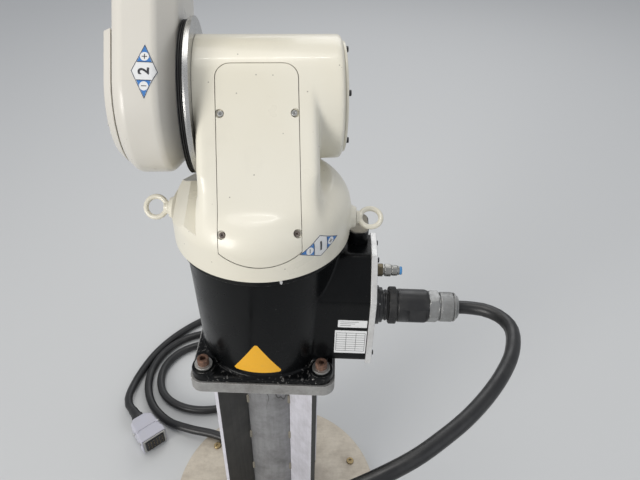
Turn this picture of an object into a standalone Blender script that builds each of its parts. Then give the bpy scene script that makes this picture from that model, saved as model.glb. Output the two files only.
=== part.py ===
"""A compact six-axis industrial robot arm, bolted to a welded pedestal.

Metres, +Z up, origin at the centre of the foot plate's underside. +X points
from the arm towards its connector box, +Y away from the side that is looked
at. Each joint has an empty on its axis, and the pieces that the joint turns
hang on that empty, so every piece is drawn in the frame of its own joint.
"""
import math

import bmesh
import bpy
from mathutils import Matrix, Vector

MM = 0.001

# Fits that every piece shares.
SEAT = 0.3 * MM                 # air between pieces that rest on each other
RUN = 0.5 * MM                  # air between the two faces of a turning joint
OVERRUN = 6.0 * MM              # how far a cutter passes the face that it opens
WELD_DISTANCE = 0.01 * MM       # vertices closer than this are one vertex
ROUND_STEPS = 48                # facets of a large turned piece
SMALL_STEPS = 24                # facets of a small turned piece
ARC_STEPS = 5                   # facets of a rounded corner
SHARP_ANGLE = math.radians(34.0)

# Pedestal: a round foot plate, a tube with four flat fins, a square top plate.
ARM_HEIGHT = 452.0 * MM         # the floor to the arm's mounting face
FOOT_RADIUS = 191.0 * MM
FOOT_THICKNESS = 10.0 * MM
TUBE_RADIUS = 33.2 * MM
FIN_REACH = 95.0 * MM           # the tube's axis to a fin's outer edge
FIN_THICKNESS = 10.0 * MM
FIN_COUNT = 4
TOP_PLATE_SIDE = 198.0 * MM
TOP_PLATE_THICKNESS = 18.3 * MM
TOP_PLATE_CORNER = 17.0 * MM
PLATE_EDGE = 1.2 * MM

# Arm kinematics: distances between the joint axes.
SHOULDER_HEIGHT = 335.0 * MM    # mounting face to joint 2
TURRET_TO_SHOULDER = 140.5 * MM  # the turret's lower edge to joint 2
SHOULDER_OFFSET = 75.0 * MM     # joint 1 to joint 2
LINK_LENGTH = 270.0 * MM        # joint 2 to joint 3
FOREARM_OFFSET = 90.0 * MM      # joint 3 to the forearm's axis
FOREARM_LENGTH = 295.0 * MM     # joint 3 to joint 5, along the forearm
FLANGE_LENGTH = 80.0 * MM       # joint 5 to the tool flange's face
TURRET_YAW = math.radians(5.0)  # how far joint 1 is turned
LINK_LEAN = math.radians(38.0)  # how far the link leans forward from upright

# Base casting, with its bolts and its connector box.
BASE_FLANGE_SIDE = 193.0 * MM
BASE_FLANGE_THICKNESS = 9.0 * MM
BASE_FLANGE_CORNER = 18.0 * MM
BASE_BOSS_RADIUS = 16.5 * MM
BASE_BOSS_HEIGHT = 15.7 * MM
BOLT_PITCH = 160.0 * MM
BASE_FOOT_RADIUS = 93.4 * MM
BASE_TOP_RADIUS = 99.2 * MM
BASE_RING_HEIGHT = 10.5 * MM    # the base casting's top to the turret's lower edge
BASE_EDGE = 3.0 * MM
BASE_RING_RADIUS = 106.5 * MM
TURRET_BOTTOM = SHOULDER_HEIGHT - TURRET_TO_SHOULDER
BASE_TOP = TURRET_BOTTOM - BASE_RING_HEIGHT
WASHER_RADIUS = 12.0 * MM
WASHER_THICKNESS = 3.0 * MM
BOLT_HEAD_RADIUS = 8.0 * MM
BOLT_HEAD_HEIGHT = 10.0 * MM
BOLT_SOCKET_RADIUS = 4.6 * MM
BOLT_SOCKET_DEPTH = 5.0 * MM
BOX_HALF_WIDTH = 66.0 * MM
BOX_BOTTOM = 17.0 * MM
BOX_DROP = 16.0 * MM            # the casting's top to the box's top
BOX_SLOPE_DROP = 42.0 * MM      # the box's top to where its upright sides end
BOX_TOP = BASE_TOP - BOX_DROP
BOX_CORNER_HEIGHT = BOX_TOP - BOX_SLOPE_DROP
BOX_TOP_HALF_WIDTH = 24.0 * MM
BOX_END = 139.4 * MM            # joint 1 to the box's end face
PANEL_THICKNESS = 8.0 * MM
PANEL_LIP = 1.9 * MM            # how far the panel stands out past the box
STOP_LENGTH = 27.0 * MM
STOP_WIDTH = 46.0 * MM
STOP_HEIGHT = 20.0 * MM
STOP_CORNER = 11.0 * MM
STOP_INSET = 3.0 * MM
STOP_SHIFT = 22.0 * MM

# Connectors on the panel.
PLUG_SIDE = -40.0 * MM          # the round connector's place across the panel
PLUG_DROP = 68.0 * MM           # the box's top to the round connector's axis
PLUG_HEIGHT = BOX_TOP - PLUG_DROP
RECEPTACLE_RADIUS = 25.5 * MM
RECEPTACLE_FLANGE = 9.0 * MM
RECEPTACLE_NECK_RADIUS = 19.5 * MM
RECEPTACLE_LENGTH = 17.0 * MM
COUPLING_RADIUS = 24.8 * MM
COUPLING_LENGTH = 11.0 * MM
PLUG_RADIUS = 22.0 * MM
PLUG_LENGTH = 52.0 * MM
GLAND_HEX_RADIUS = 21.5 * MM
GLAND_HEX_LENGTH = 13.0 * MM
GLAND_NUT_RADIUS = 20.0 * MM
GLAND_NUT_LENGTH = 22.0 * MM
GLAND_LIP_RADIUS = 15.0 * MM
GLAND_LIP_LENGTH = 4.0 * MM
FITTING_SIDE = -20.0 * MM       # the air fitting's place across the panel
FITTING_DROP = 25.0 * MM
FITTING_HEIGHT = BOX_TOP - FITTING_DROP
FITTING_HEX_RADIUS = 8.5 * MM
FITTING_BODY_RADIUS = 7.0 * MM
FITTING_COLLET_RADIUS = 5.5 * MM
FITTING_BORE_RADIUS = 3.0 * MM
FITTING_LENGTH = 33.0 * MM

# Turret: a bell on the base, a leaning trunk and the shoulder's barrel.
BELL_RADIUS = 110.7 * MM
BELL_SHOULDER_HEIGHT = 34.0 * MM
BELL_ROUND = 36.0 * MM
BELL_EDGE = 2.0 * MM
TRUNK_LEFT = -70.0 * MM
TRUNK_RIGHT = 69.0 * MM
TRUNK_LEAN = math.radians(37.4)
TRUNK_EDGE = 9.0 * MM
TRUNK_FRONT_LEAN = math.radians(28.9)
TRUNK_SINK = 4.5 * MM           # how far the trunk starts below the bell's crown
TRUNK_FADE = math.radians(14.0)  # slope on which the trunk's corners run out on the bell
SHOULDER_RADIUS = 74.6 * MM
SHOULDER_LEFT = -72.0 * MM
SHOULDER_RIGHT = 100.0 * MM
SHOULDER_EDGE = 6.0 * MM
END_CAP_THICKNESS = 3.5 * MM
END_CAP_RADIUS = 67.0 * MM
END_CAP_EDGE = 1.2 * MM
RING_RADIUS = 95.0 * MM
RING_THICKNESS = 7.0 * MM
SWING_CLEARANCE = 6.0 * MM      # air that the bell leaves round the link
SWING_BACK = math.radians(100.0)  # how far the link leans back at its limit
COVER_WIDTH = 92.0 * MM
COVER_CORNER = 17.0 * MM
COVER_TOP_RISE = 21.0 * MM      # the cover's top edge above the shoulder's tangent line
COVER_THICKNESS = 6.0 * MM
COVER_GROOVE = 0.8 * MM
COVER_LENGTH = 223.0 * MM
COVER_SCREW_RADIUS = 5.0 * MM   # the recesses for the cover's screws, open to its edge
COVER_SCREW_INSET = 4.0 * MM    # their centres to the cover's edge
COVER_SCREW_DEPTH = 3.4 * MM    # the upper pair's floor below the cover's flat
COVER_SCREW_RISE = 5.3 * MM     # the lower pair's floor above it, on the bell's crown
COVER_SCREW_TOP = 56.5 * MM     # the cover's top edge to the upper pair
COVER_SCREW_BOTTOM = 191.0 * MM
EYE_TURN = math.radians(-7.0)
EYE_RISE = 20.5 * MM            # the bell's lower edge to the eye bolts' axis
EYE_BOSS_RADIUS = 14.0 * MM
EYE_BOSS_REACH = 118.0 * MM
EYE_RING_RADIUS = 13.2 * MM
EYE_WIRE_RADIUS = 3.3 * MM
EYE_WIRE_STEPS = 8
EYE_COLLAR_RADIUS = 8.5 * MM
EYE_COLLAR_THICKNESS = 2.5 * MM

# Link between the joints 2 and 3.
LINK_FOOT_RADIUS = 89.0 * MM
LINK_HEAD_RADIUS = 74.0 * MM
LINK_CHAMFER = 22.0 * MM
LINK_FLAT = 38.0 * MM
LINK_COVER_THICKNESS = 11.0 * MM
LINK_COVER_TOP = 50.0 * MM      # the hub cover's straight top edge above joint 2
SEAL_THICKNESS = 7.0 * MM
SEAL_RADIUS = 91.0 * MM
SEAL_GROOVE_DEPTH = 2.5 * MM
SEAL_RIB_COUNT = 2

# Elbow housing and the forearm's fixed rear part.
ELBOW_RADIUS = 62.0 * MM
ELBOW_RIGHT = 44.0 * MM
ELBOW_SEAL_RADIUS = 58.0 * MM
ELBOW_CHAMFER = 16.0 * MM
FOREARM_HALF_HEIGHT = 48.0 * MM
FOREARM_REAR = 13.0 * MM
FOREARM_REAR_CORNER = 50.0 * MM
FOREARM_NOSE = 105.0 * MM
ELBOW_CAP_RADIUS = 42.0 * MM
ELBOW_CAP_THICKNESS = 5.0 * MM
ELBOW_CAP_EDGE = 1.5 * MM
REAR_CAP_THICKNESS = 7.0 * MM
REAR_CAP_WIDTH = 72.0 * MM
REAR_CAP_HEIGHT = 76.0 * MM
REAR_CAP_CORNER = 14.0 * MM
ROLL_RING_RADIUS = 41.0 * MM
ROLL_RING_THICKNESS = 6.0 * MM

# Rolling forearm with its fork.
FORE_TUBE_RADIUS = 42.0 * MM
FORE_TUBE_LENGTH = 38.0 * MM
FORK_HALF_WIDTH = 50.0 * MM
FORK_HALF_HEIGHT = 38.0 * MM
FORK_CORNER = 16.0 * MM
FORK_GAP_HALF = 31.0 * MM
FORK_THROAT = 65.0 * MM         # joint 5 to the bottom of the fork's gap
FORK_YOKE = 92.0 * MM           # joint 5 to where the fork's full section starts
FORK_EDGE = 3.0 * MM
FORK_CAP_RADIUS = 30.0 * MM
FORK_CAP_THICKNESS = 4.5 * MM
FORK_CAP_EDGE = 1.2 * MM

# Wrist and tool flange.
WRIST_RADIUS = 33.0 * MM
WRIST_EDGE = 2.0 * MM
SNOUT_RADIUS = 26.0 * MM
SNOUT_LENGTH = 66.0 * MM
FLANGE_RADIUS = 31.5 * MM
FLANGE_THICKNESS = 8.0 * MM
FLANGE_NECK_RADIUS = 24.0 * MM
FLANGE_PILOT_RADIUS = 15.75 * MM
FLANGE_PILOT_DEPTH = 5.0 * MM
FLANGE_EDGE = 0.8 * MM
FLANGE_BOLT_CIRCLE = 25.0 * MM
FLANGE_BOLT_RADIUS = 2.6 * MM
FLANGE_BOLT_DEPTH = 6.0 * MM
FLANGE_BOLT_COUNT = 4

# Harness cable: after a straight lead the route's points are chosen by hand, in millimetres.
CABLE_RADIUS = 8.75 * MM
CABLE_LEAD = 11.0 * MM
CABLE_SIDES = 3
CABLE_PITCH_SHARE = 2.6         # distance between the tube's points, in diameters
CABLE_ROUTE_MM = (
    (291, -47, 555), (309, -65, 559), (315, -92, 563),
    (304, -132, 568), (284, -168, 571), (260, -200, 572), (234, -228, 572), (206, -252, 571),
    (176, -274, 569), (142, -292, 565), (105, -306, 556), (66, -316, 540), (26, -322, 512),
    (-12, -322, 472), (-46, -316, 420), (-72, -304, 360), (-92, -288, 296), (-106, -268, 230),
    (-116, -244, 165), (-120, -216, 104), (-118, -184, 56), (-110, -148, 28), (-98, -108, 19.4),
    (-86, -62, 19.4), (-77, -18, 19.4), (-74, 22, 19.4), (-78, 60, 19.4), (-98, 94, 19.4),
    (-140, 112, 19.4), (-192, 124, 17), (-245, 146, 10), (-288, 184, 9.3), (-312, 234, 9.3),
    (-316, 290, 9.3), (-298, 344, 9.3), (-258, 386, 9.3), (-204, 408, 9.3), (-148, 410, 9.3),
    (-96, 394, 9.3), (-58, 358, 9.3), (-42, 308, 9.3), (-50, 256, 9.3), (-82, 214, 9.3),
    (-128, 188, 9.3), (-180, 178, 9.3), (-228, 186, 9.3), (-268, 212, 9.3), (-288, 252, 9.3),
    (-288, 298, 9.3), (-264, 340, 9.3), (-222, 366, 9.3), (-174, 374, 10), (-126, 372, 18),
    (-82, 382, 28.3), (-40, 400, 27), (4, 426, 20), (22, 464, 12), (4, 502, 9.3),
    (-42, 520, 9.3), (-96, 516, 9.3), (-150, 498, 9.3), (-204, 468, 9.3), (-252, 430, 9.3),
    (-292, 384, 9.3), (-322, 332, 9.3), (-340, 276, 9.3), (-347, 232, 11), (-345, 198, 18),
    (-336, 174, 22.4), (-325, 162, 22.4),
)
HOOD_LENGTH = 84.0 * MM
HOOD_WIDTH = 58.0 * MM
HOOD_HEIGHT = 44.0 * MM
HOOD_CORNER = 6.0 * MM
HOOD_EDGE = 2.5 * MM
HOOD_GLAND_RADIUS = 13.0 * MM
HOOD_GLAND_LENGTH = 14.0 * MM
HOOD_INSERT_LENGTH = 9.0 * MM
HOOD_INSERT_MARGIN = 7.0 * MM

# Colour, roughness and metallic value of each finish.
FINISHES = {
    "cream": ((0.78, 0.76, 0.69), 0.42, 0.0),
    "black": ((0.018, 0.019, 0.021), 0.38, 0.0),
    "steel": ((0.45, 0.45, 0.44), 0.42, 1.0),
    "dark steel": ((0.10, 0.10, 0.11), 0.5, 0.6),
    "aluminium": ((0.66, 0.67, 0.69), 0.32, 1.0),
    "rubber": ((0.012, 0.012, 0.013), 0.62, 0.0),
    "rust": ((0.23, 0.13, 0.09), 0.75, 0.3),
    "nickel": ((0.62, 0.61, 0.57), 0.28, 1.0),
    "grey hood": ((0.36, 0.36, 0.42), 0.5, 0.0),
}


def clear_scene():
    """Removes what the opened file holds."""
    for old in list(bpy.data.objects):
        bpy.data.objects.remove(old, do_unlink=True)


def on_axis(axis, u, v, along):
    """Gives the point at (u, v) across the axis and at a distance along it."""
    return Vector({"X": (along, u, v), "Y": (u, along, v), "Z": (u, v, along)}[axis])


def object_from(name, bm):
    """Turns an edited mesh into an object with its faces pointing out."""
    bmesh.ops.remove_doubles(bm, verts=bm.verts, dist=WELD_DISTANCE)
    bmesh.ops.recalc_face_normals(bm, faces=bm.faces)
    mesh = bpy.data.meshes.new(name)
    bm.to_mesh(mesh)
    bm.free()
    body = bpy.data.objects.new(name, mesh)
    bpy.context.collection.objects.link(body)
    return body


def loft(name, sections):
    """Skins closed sections, each with as many points as the first, and caps the ends."""
    bm = bmesh.new()
    rings = [[bm.verts.new(point) for point in section] for section in sections]
    count = len(rings[0])
    for low, high in zip(rings, rings[1:]):
        for index in range(count):
            after = (index + 1) % count
            bm.faces.new((low[index], low[after], high[after], high[index]))
    bm.faces.new(list(reversed(rings[0])))
    bm.faces.new(rings[-1])
    return object_from(name, bm)


def prism(name, outline, axis, low, high):
    """Extrudes a closed outline along an axis."""
    return loft(name, [[on_axis(axis, u, v, along) for u, v in outline] for along in (low, high)])


def turned(name, profile, axis, steps=ROUND_STEPS, centre=(0, 0)):
    """Turns a profile of (radius, distance) pairs, which starts and ends on the axis."""
    bm = bmesh.new()
    rings = []
    for radius, along in profile:
        if radius == 0:
            rings.append([bm.verts.new(on_axis(axis, centre[0], centre[1], along))])
            continue
        angles = [math.tau * index / steps for index in range(steps)]
        rings.append([bm.verts.new(on_axis(axis, centre[0] + radius * math.cos(angle),
                                           centre[1] + radius * math.sin(angle), along))
                      for angle in angles])
    for low, high in zip(rings, rings[1:]):
        for index in range(steps):
            after = (index + 1) % steps
            if len(low) == 1:
                bm.faces.new((low[0], high[after], high[index]))
            elif len(high) == 1:
                bm.faces.new((low[index], low[after], high[0]))
            else:
                bm.faces.new((low[index], low[after], high[after], high[index]))
    return object_from(name, bm)


def disc_profile(radius, low, high, edge=0.0):
    """Gives the profile of a disc whose two rims are chamfered by edge."""
    if edge == 0:
        return [(0, low), (radius, low), (radius, high), (0, high)]
    return [(0, low), (radius - edge, low), (radius, low + edge), (radius, high - edge),
            (radius - edge, high), (0, high)]


def arc(centre, radius, start, end, steps=ARC_STEPS):
    """Gives points on an arc between two angles, both ends included."""
    return [(centre[0] + radius * math.cos(start + (end - start) * index / steps),
             centre[1] + radius * math.sin(start + (end - start) * index / steps))
            for index in range(steps + 1)]


def rounded_rectangle(width, height, corner, centre=(0, 0), steps=ARC_STEPS):
    """Gives a rectangle's outline with its corners rounded."""
    points = []
    for turn, (side_u, side_v) in enumerate(((1, 1), (-1, 1), (-1, -1), (1, -1))):
        middle = (centre[0] + side_u * (width / 2 - corner), centre[1] + side_v * (height / 2 - corner))
        points += arc(middle, corner, turn * math.pi / 2, (turn + 1) * math.pi / 2, steps)
    return points


def tapered_outline(foot_radius, head_radius, length, steps=ROUND_STEPS):
    """Gives the outline round two circles, one at zero and one at (0, length)."""
    lean = math.asin((foot_radius - head_radius) / length)
    head = arc((0, length), head_radius, lean, math.pi - lean, steps // 2)
    foot = arc((0, 0), foot_radius, math.pi - lean, math.tau + lean, steps // 2)
    return head + foot


def tangent_angle(centre, radius, point, side):
    """Gives the angle on a circle at which a line from an outer point touches it."""
    across, up = point[0] - centre[0], point[1] - centre[1]
    return math.atan2(up, across) + side * math.acos(radius / math.hypot(across, up))


def bake(body):
    """Replaces an object's mesh by what its modifiers make of it."""
    depsgraph = bpy.context.evaluated_depsgraph_get()
    mesh = bpy.data.meshes.new_from_object(body.evaluated_get(depsgraph))
    body.modifiers.clear()
    old, body.data = body.data, mesh
    bpy.data.meshes.remove(old)


def combine(body, tool, operation="UNION"):
    """Joins a tool to a body, or cuts the body by it, and removes the tool."""
    boolean = body.modifiers.new("combine", "BOOLEAN")
    boolean.operation = operation
    boolean.solver = "EXACT"
    boolean.object = tool
    bake(body)
    bpy.data.objects.remove(tool, do_unlink=True)
    return body


def soften(body, width, segments=2, angle=SHARP_ANGLE):
    """Bevels the edges that are sharper than an angle."""
    bevel = body.modifiers.new("edge", "BEVEL")
    bevel.width = width
    bevel.segments = segments
    bevel.limit_method = "ANGLE"
    bevel.angle_limit = angle
    bake(body)
    return body


def material_for(name, finish):
    """Makes the material of one piece."""
    colour, roughness, metallic = FINISHES[finish]
    material = bpy.data.materials.new(name)
    material.use_nodes = True
    shader = material.node_tree.nodes["Principled BSDF"]
    shader.inputs["Base Color"].default_value = (*colour, 1.0)
    shader.inputs["Roughness"].default_value = roughness
    shader.inputs["Metallic"].default_value = metallic
    return material


def settle(body, name, finish, parent, location=(0, 0, 0), rotation=(0, 0, 0)):
    """Names a finished piece, shades it, colours it and hangs it on its joint."""
    body.name = name
    body.data.name = name
    body.data.materials.clear()
    body.data.materials.append(material_for(name, finish))
    body.data.shade_smooth()
    body.data.set_sharp_from_angle(angle=SHARP_ANGLE)
    body.parent = parent
    body.location = location
    body.rotation_euler = rotation
    return body


def pivot(name, parent, location, rotation=(0, 0, 0)):
    """Puts an empty on a joint's axis."""
    empty = bpy.data.objects.new(name, None)
    bpy.context.collection.objects.link(empty)
    empty.empty_display_size = SHOULDER_OFFSET
    empty.parent = parent
    empty.location = location
    empty.rotation_euler = rotation
    return empty


def model_pedestal(floor):
    """Models the welded stand from its foot plate to its top plate."""
    foot = turned("foot", disc_profile(FOOT_RADIUS, 0, FOOT_THICKNESS, PLATE_EDGE), "Z")
    settle(foot, "foot_plate", "steel", floor)

    plate_low = ARM_HEIGHT - TOP_PLATE_THICKNESS
    column = (FOOT_THICKNESS + SEAT, plate_low - SEAT)
    tube = turned("tube", disc_profile(TUBE_RADIUS, *column), "Z", SMALL_STEPS)
    settle(tube, "column_tube", "steel", floor)

    fin_start = TUBE_RADIUS + SEAT
    for index in range(FIN_COUNT):
        fin = prism("fin", rounded_rectangle(FIN_REACH - fin_start, FIN_THICKNESS, PLATE_EDGE,
                                             ((FIN_REACH + fin_start) / 2, 0), 1), "Z", *column)
        turn = math.tau * (index + 1 / 2) / FIN_COUNT
        settle(fin, f"column_fin_{index + 1}", "dark steel", floor, rotation=(0, 0, turn))

    top = prism("top", rounded_rectangle(TOP_PLATE_SIDE, TOP_PLATE_SIDE, TOP_PLATE_CORNER),
                "Z", plate_low, ARM_HEIGHT)
    settle(soften(top, PLATE_EDGE, 1), "top_plate", "steel", floor)


def box_outline(lip=0.0):
    """Gives the connector box's section, with both upper corners cut back."""
    width, top_width = BOX_HALF_WIDTH + lip, BOX_TOP_HALF_WIDTH + lip / 2
    corner, top = BOX_CORNER_HEIGHT + lip / 2, BOX_TOP + lip
    low = BOX_BOTTOM - lip
    return [(-width, low), (width, low), (width, corner), (top_width, top),
            (-top_width, top), (-width, corner)]


def model_base(base):
    """Models the fixed casting with its ring, its bolts and its connector box."""
    casting = prism("base", rounded_rectangle(BASE_FLANGE_SIDE, BASE_FLANGE_SIDE, BASE_FLANGE_CORNER),
                    "Z", SEAT, BASE_FLANGE_THICKNESS)
    barrel = turned("barrel", [(0, BASE_FLANGE_THICKNESS / 2), (BASE_FOOT_RADIUS, BASE_FLANGE_THICKNESS / 2),
                               (BASE_FOOT_RADIUS, BASE_FLANGE_THICKNESS),
                               (BASE_TOP_RADIUS, BASE_TOP - BASE_EDGE),
                               (BASE_TOP_RADIUS - BASE_EDGE, BASE_TOP), (0, BASE_TOP)], "Z")
    box = prism("box", box_outline(), "X", BASE_FOOT_RADIUS / 2, BOX_END)
    combine(casting, barrel)
    combine(casting, box)
    corners = [(side_x * BOLT_PITCH / 2, side_y * BOLT_PITCH / 2)
               for side_x, side_y in ((-1, -1), (1, -1), (1, 1), (-1, 1))]
    for corner in corners:
        boss = turned("boss", disc_profile(BASE_BOSS_RADIUS, BASE_FLANGE_THICKNESS / 2, BASE_BOSS_HEIGHT),
                      "Z", SMALL_STEPS, corner)
        combine(casting, boss)
    settle(casting, "base_casting", "black", base)

    for index, (x, y) in enumerate(corners):
        washer_top = WASHER_THICKNESS
        head_top = washer_top + BOLT_HEAD_HEIGHT
        bolt = turned("bolt", [(0, 0), (WASHER_RADIUS, 0), (WASHER_RADIUS, washer_top),
                               (BOLT_HEAD_RADIUS, washer_top), (BOLT_HEAD_RADIUS, head_top),
                               (0, head_top)], "Z", SMALL_STEPS)
        socket = turned("socket", disc_profile(BOLT_SOCKET_RADIUS, head_top - BOLT_SOCKET_DEPTH,
                                               head_top + OVERRUN), "Z", 6)
        combine(bolt, socket, "DIFFERENCE")
        settle(bolt, f"base_bolt_{index + 1}", "rust", base, (x, y, BASE_BOSS_HEIGHT + SEAT))

    ring = turned("ring", disc_profile(BASE_RING_RADIUS, BASE_TOP + SEAT, TURRET_BOTTOM - RUN, PLATE_EDGE), "Z")
    settle(ring, "base_ring", "steel", base)

    stop_middle = BOX_END - STOP_INSET - STOP_LENGTH / 2
    stop = prism("stop", rounded_rectangle(STOP_LENGTH, STOP_WIDTH, STOP_CORNER, (stop_middle, STOP_SHIFT)),
                 "Z", BOX_TOP + SEAT, BOX_TOP + STOP_HEIGHT)
    settle(stop, "rear_block", "black", base)

    panel_low = BOX_END + SEAT
    panel = prism("panel", box_outline(PANEL_LIP), "X", panel_low, panel_low + PANEL_THICKNESS)
    settle(soften(panel, PLATE_EDGE, 1), "connector_panel", "aluminium", base)
    return panel_low + PANEL_THICKNESS + SEAT


def model_connectors(base, panel_face):
    """Models what stands on the connector panel, out to the cable's gland.

    Returns:
        The distance from joint 1 to the end of the gland.
    """
    centre = (PLUG_SIDE, PLUG_HEIGHT)
    neck = panel_face + RECEPTACLE_FLANGE
    end = panel_face + RECEPTACLE_LENGTH
    receptacle = turned("receptacle", [(0, panel_face), (RECEPTACLE_RADIUS, panel_face),
                                       (RECEPTACLE_RADIUS, neck), (RECEPTACLE_NECK_RADIUS, neck),
                                       (RECEPTACLE_NECK_RADIUS, end), (0, end)], "X", SMALL_STEPS, centre)
    settle(receptacle, "round_receptacle", "black", base)

    start = end + SEAT
    ring_end = start + COUPLING_LENGTH
    body_end = start + PLUG_LENGTH
    plug = turned("plug", [(0, start), (COUPLING_RADIUS, start), (COUPLING_RADIUS, ring_end),
                           (PLUG_RADIUS, ring_end), (PLUG_RADIUS, body_end), (0, body_end)],
                  "X", SMALL_STEPS, centre)
    settle(plug, "harness_plug", "rubber", base)

    start = body_end + SEAT
    nut_start = start + GLAND_HEX_LENGTH
    nut_end = nut_start + GLAND_NUT_LENGTH
    gland_end = nut_end + GLAND_LIP_LENGTH
    gland = turned("gland", disc_profile(GLAND_HEX_RADIUS, start, nut_start), "X", 6, centre)
    nut = turned("nut", [(0, nut_start - GLAND_LIP_LENGTH), (GLAND_NUT_RADIUS, nut_start - GLAND_LIP_LENGTH),
                         (GLAND_NUT_RADIUS, nut_end), (GLAND_LIP_RADIUS, nut_end),
                         (GLAND_LIP_RADIUS, gland_end), (0, gland_end)], "X", SMALL_STEPS, centre)
    settle(combine(gland, nut), "cable_gland", "nickel", base)

    centre = (FITTING_SIDE, FITTING_HEIGHT)
    third = FITTING_LENGTH / 3
    fitting = turned("fitting", disc_profile(FITTING_HEX_RADIUS, panel_face, panel_face + third), "X", 6, centre)
    tip = panel_face + FITTING_LENGTH
    body = turned("body", [(0, panel_face + third / 2), (FITTING_BODY_RADIUS, panel_face + third / 2),
                           (FITTING_BODY_RADIUS, tip - third / 2),
                           (FITTING_COLLET_RADIUS, tip - third / 2), (FITTING_COLLET_RADIUS, tip),
                           (FITTING_BORE_RADIUS, tip), (FITTING_BORE_RADIUS, tip - third),
                           (0, tip - third)], "X", SMALL_STEPS, centre)
    settle(combine(fitting, body), "air_fitting", "nickel", base)
    return gland_end


def trunk_outline():
    """Gives the trunk's side view as (forward, up) pairs in the turret's frame."""
    centre = (SHOULDER_OFFSET, SHOULDER_HEIGHT)
    back = math.pi - TRUNK_LEAN
    touch = (centre[0] + SHOULDER_RADIUS * math.cos(back), centre[1] + SHOULDER_RADIUS * math.sin(back))
    foot_height = TURRET_BOTTOM + BELL_SHOULDER_HEIGHT - TRUNK_SINK
    foot = (touch[0] - (touch[1] - foot_height) * math.tan(TRUNK_LEAN), foot_height)
    front = (centre[0] + SHOULDER_RADIUS * math.cos(TRUNK_FRONT_LEAN),
             centre[1] - SHOULDER_RADIUS * math.sin(TRUNK_FRONT_LEAN))
    front_foot = (front[0] - (front[1] - foot_height) * math.tan(TRUNK_FRONT_LEAN), foot_height)
    return [foot, front_foot] + arc(centre, SHOULDER_RADIUS, -TRUNK_FRONT_LEAN, back, 2 * ARC_STEPS)


def cover_frame():
    """Gives the cover's top point and the directions down along it and out of it."""
    back = math.pi - TRUNK_LEAN
    down = Vector((0, -math.sin(TRUNK_LEAN), -math.cos(TRUNK_LEAN)))
    out = Vector((0, math.cos(back), math.sin(back)))
    touch = Vector((0, SHOULDER_OFFSET, SHOULDER_HEIGHT)) + out * SHOULDER_RADIUS
    return touch - down * COVER_TOP_RISE, down, out


def cover_prism(name, grow, depth):
    """Makes a block with the cover's outline, from a depth below its face to well above it."""
    top, down, out = cover_frame()
    outline = rounded_rectangle(COVER_WIDTH + 2 * grow, COVER_LENGTH + 2 * grow, COVER_CORNER + grow,
                                (0, COVER_LENGTH / 2))
    sections = [[top + Vector((u, 0, 0)) + down * v + out * height for u, v in outline]
                for height in (-depth, COVER_LENGTH / 2)]
    return loft(name, sections)


def fade_trunk(trunk):
    """Cuts the trunk's lower corners back to a cone that runs out on the bell."""
    low = TURRET_BOTTOM + BELL_SHOULDER_HEIGHT
    high = SHOULDER_HEIGHT + 2 * SHOULDER_RADIUS
    wide = BELL_RADIUS - RUN
    narrow = wide - (high - low) * math.tan(TRUNK_FADE)
    guard = turned("guard", [(0, 0), (wide, 0), (wide, low), (narrow, high), (0, high)], "Z")
    ahead = prism("ahead", [(-BELL_RADIUS, -RUN), (BELL_RADIUS, -RUN), (BELL_RADIUS, 2 * BELL_RADIUS),
                            (-BELL_RADIUS, 2 * BELL_RADIUS)], "Z", -RUN, high + RUN)
    return combine(trunk, combine(guard, ahead), "INTERSECT")


def leaned_back(tool):
    """Puts a tool on joint 2, leaned back as far as the link goes, in its mesh."""
    turn = Matrix.Rotation(SWING_BACK, 4, "X")
    tool.data.transform(Matrix.Translation((0, SHOULDER_OFFSET, SHOULDER_HEIGHT)) @ turn)
    return tool


def cut_swing_room(casting):
    """Clears the bell round the link's foot, the shoulder's end cap and the link leaned back."""
    shoulder = SHOULDER_LEFT - SEAT / 2
    far = -EYE_BOSS_REACH - OVERRUN
    disc = turned("swing", disc_profile(RING_RADIUS + SWING_CLEARANCE, far, shoulder),
                  "X", ROUND_STEPS, (SHOULDER_OFFSET, SHOULDER_HEIGHT))
    face = SHOULDER_LEFT - RING_THICKNESS - RUN - SEAL_THICKNESS - 2 * SEAT
    inset = LINK_CHAMFER - SWING_CLEARANCE * math.sqrt(2)
    flat = face - inset - SWING_CLEARANCE
    link = leaned_back(loft("lean", [link_section(inset, shoulder), link_section(inset, face),
                                     link_section(-SWING_CLEARANCE, flat),
                                     link_section(-SWING_CLEARANCE, far - OVERRUN)]))
    cap = turned("cap", disc_profile(END_CAP_RADIUS + SWING_CLEARANCE, SHOULDER_RIGHT + SEAT / 2, -far),
                 "X", ROUND_STEPS, (SHOULDER_OFFSET, SHOULDER_HEIGHT))
    for tool in (disc, link, cap):
        combine(casting, tool, "DIFFERENCE")
    return casting


def screw_recess(side, down_along, floor):
    """Makes the cutter for one recess, whose floor is at a height over the cover's flat."""
    top, down, out = cover_frame()
    cutter = turned("recess", disc_profile(COVER_SCREW_RADIUS, floor, COVER_LENGTH / 2), "Z", SMALL_STEPS)
    across = Vector((1, 0, 0))
    place = top + across * (side * (COVER_WIDTH / 2 - COVER_SCREW_INSET)) + down * down_along
    frame = Matrix.Identity(4)
    for row in range(3):
        frame[row][0], frame[row][1], frame[row][2], frame[row][3] = across[row], down[row], out[row], place[row]
    cutter.data.transform(frame)
    return cutter


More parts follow.
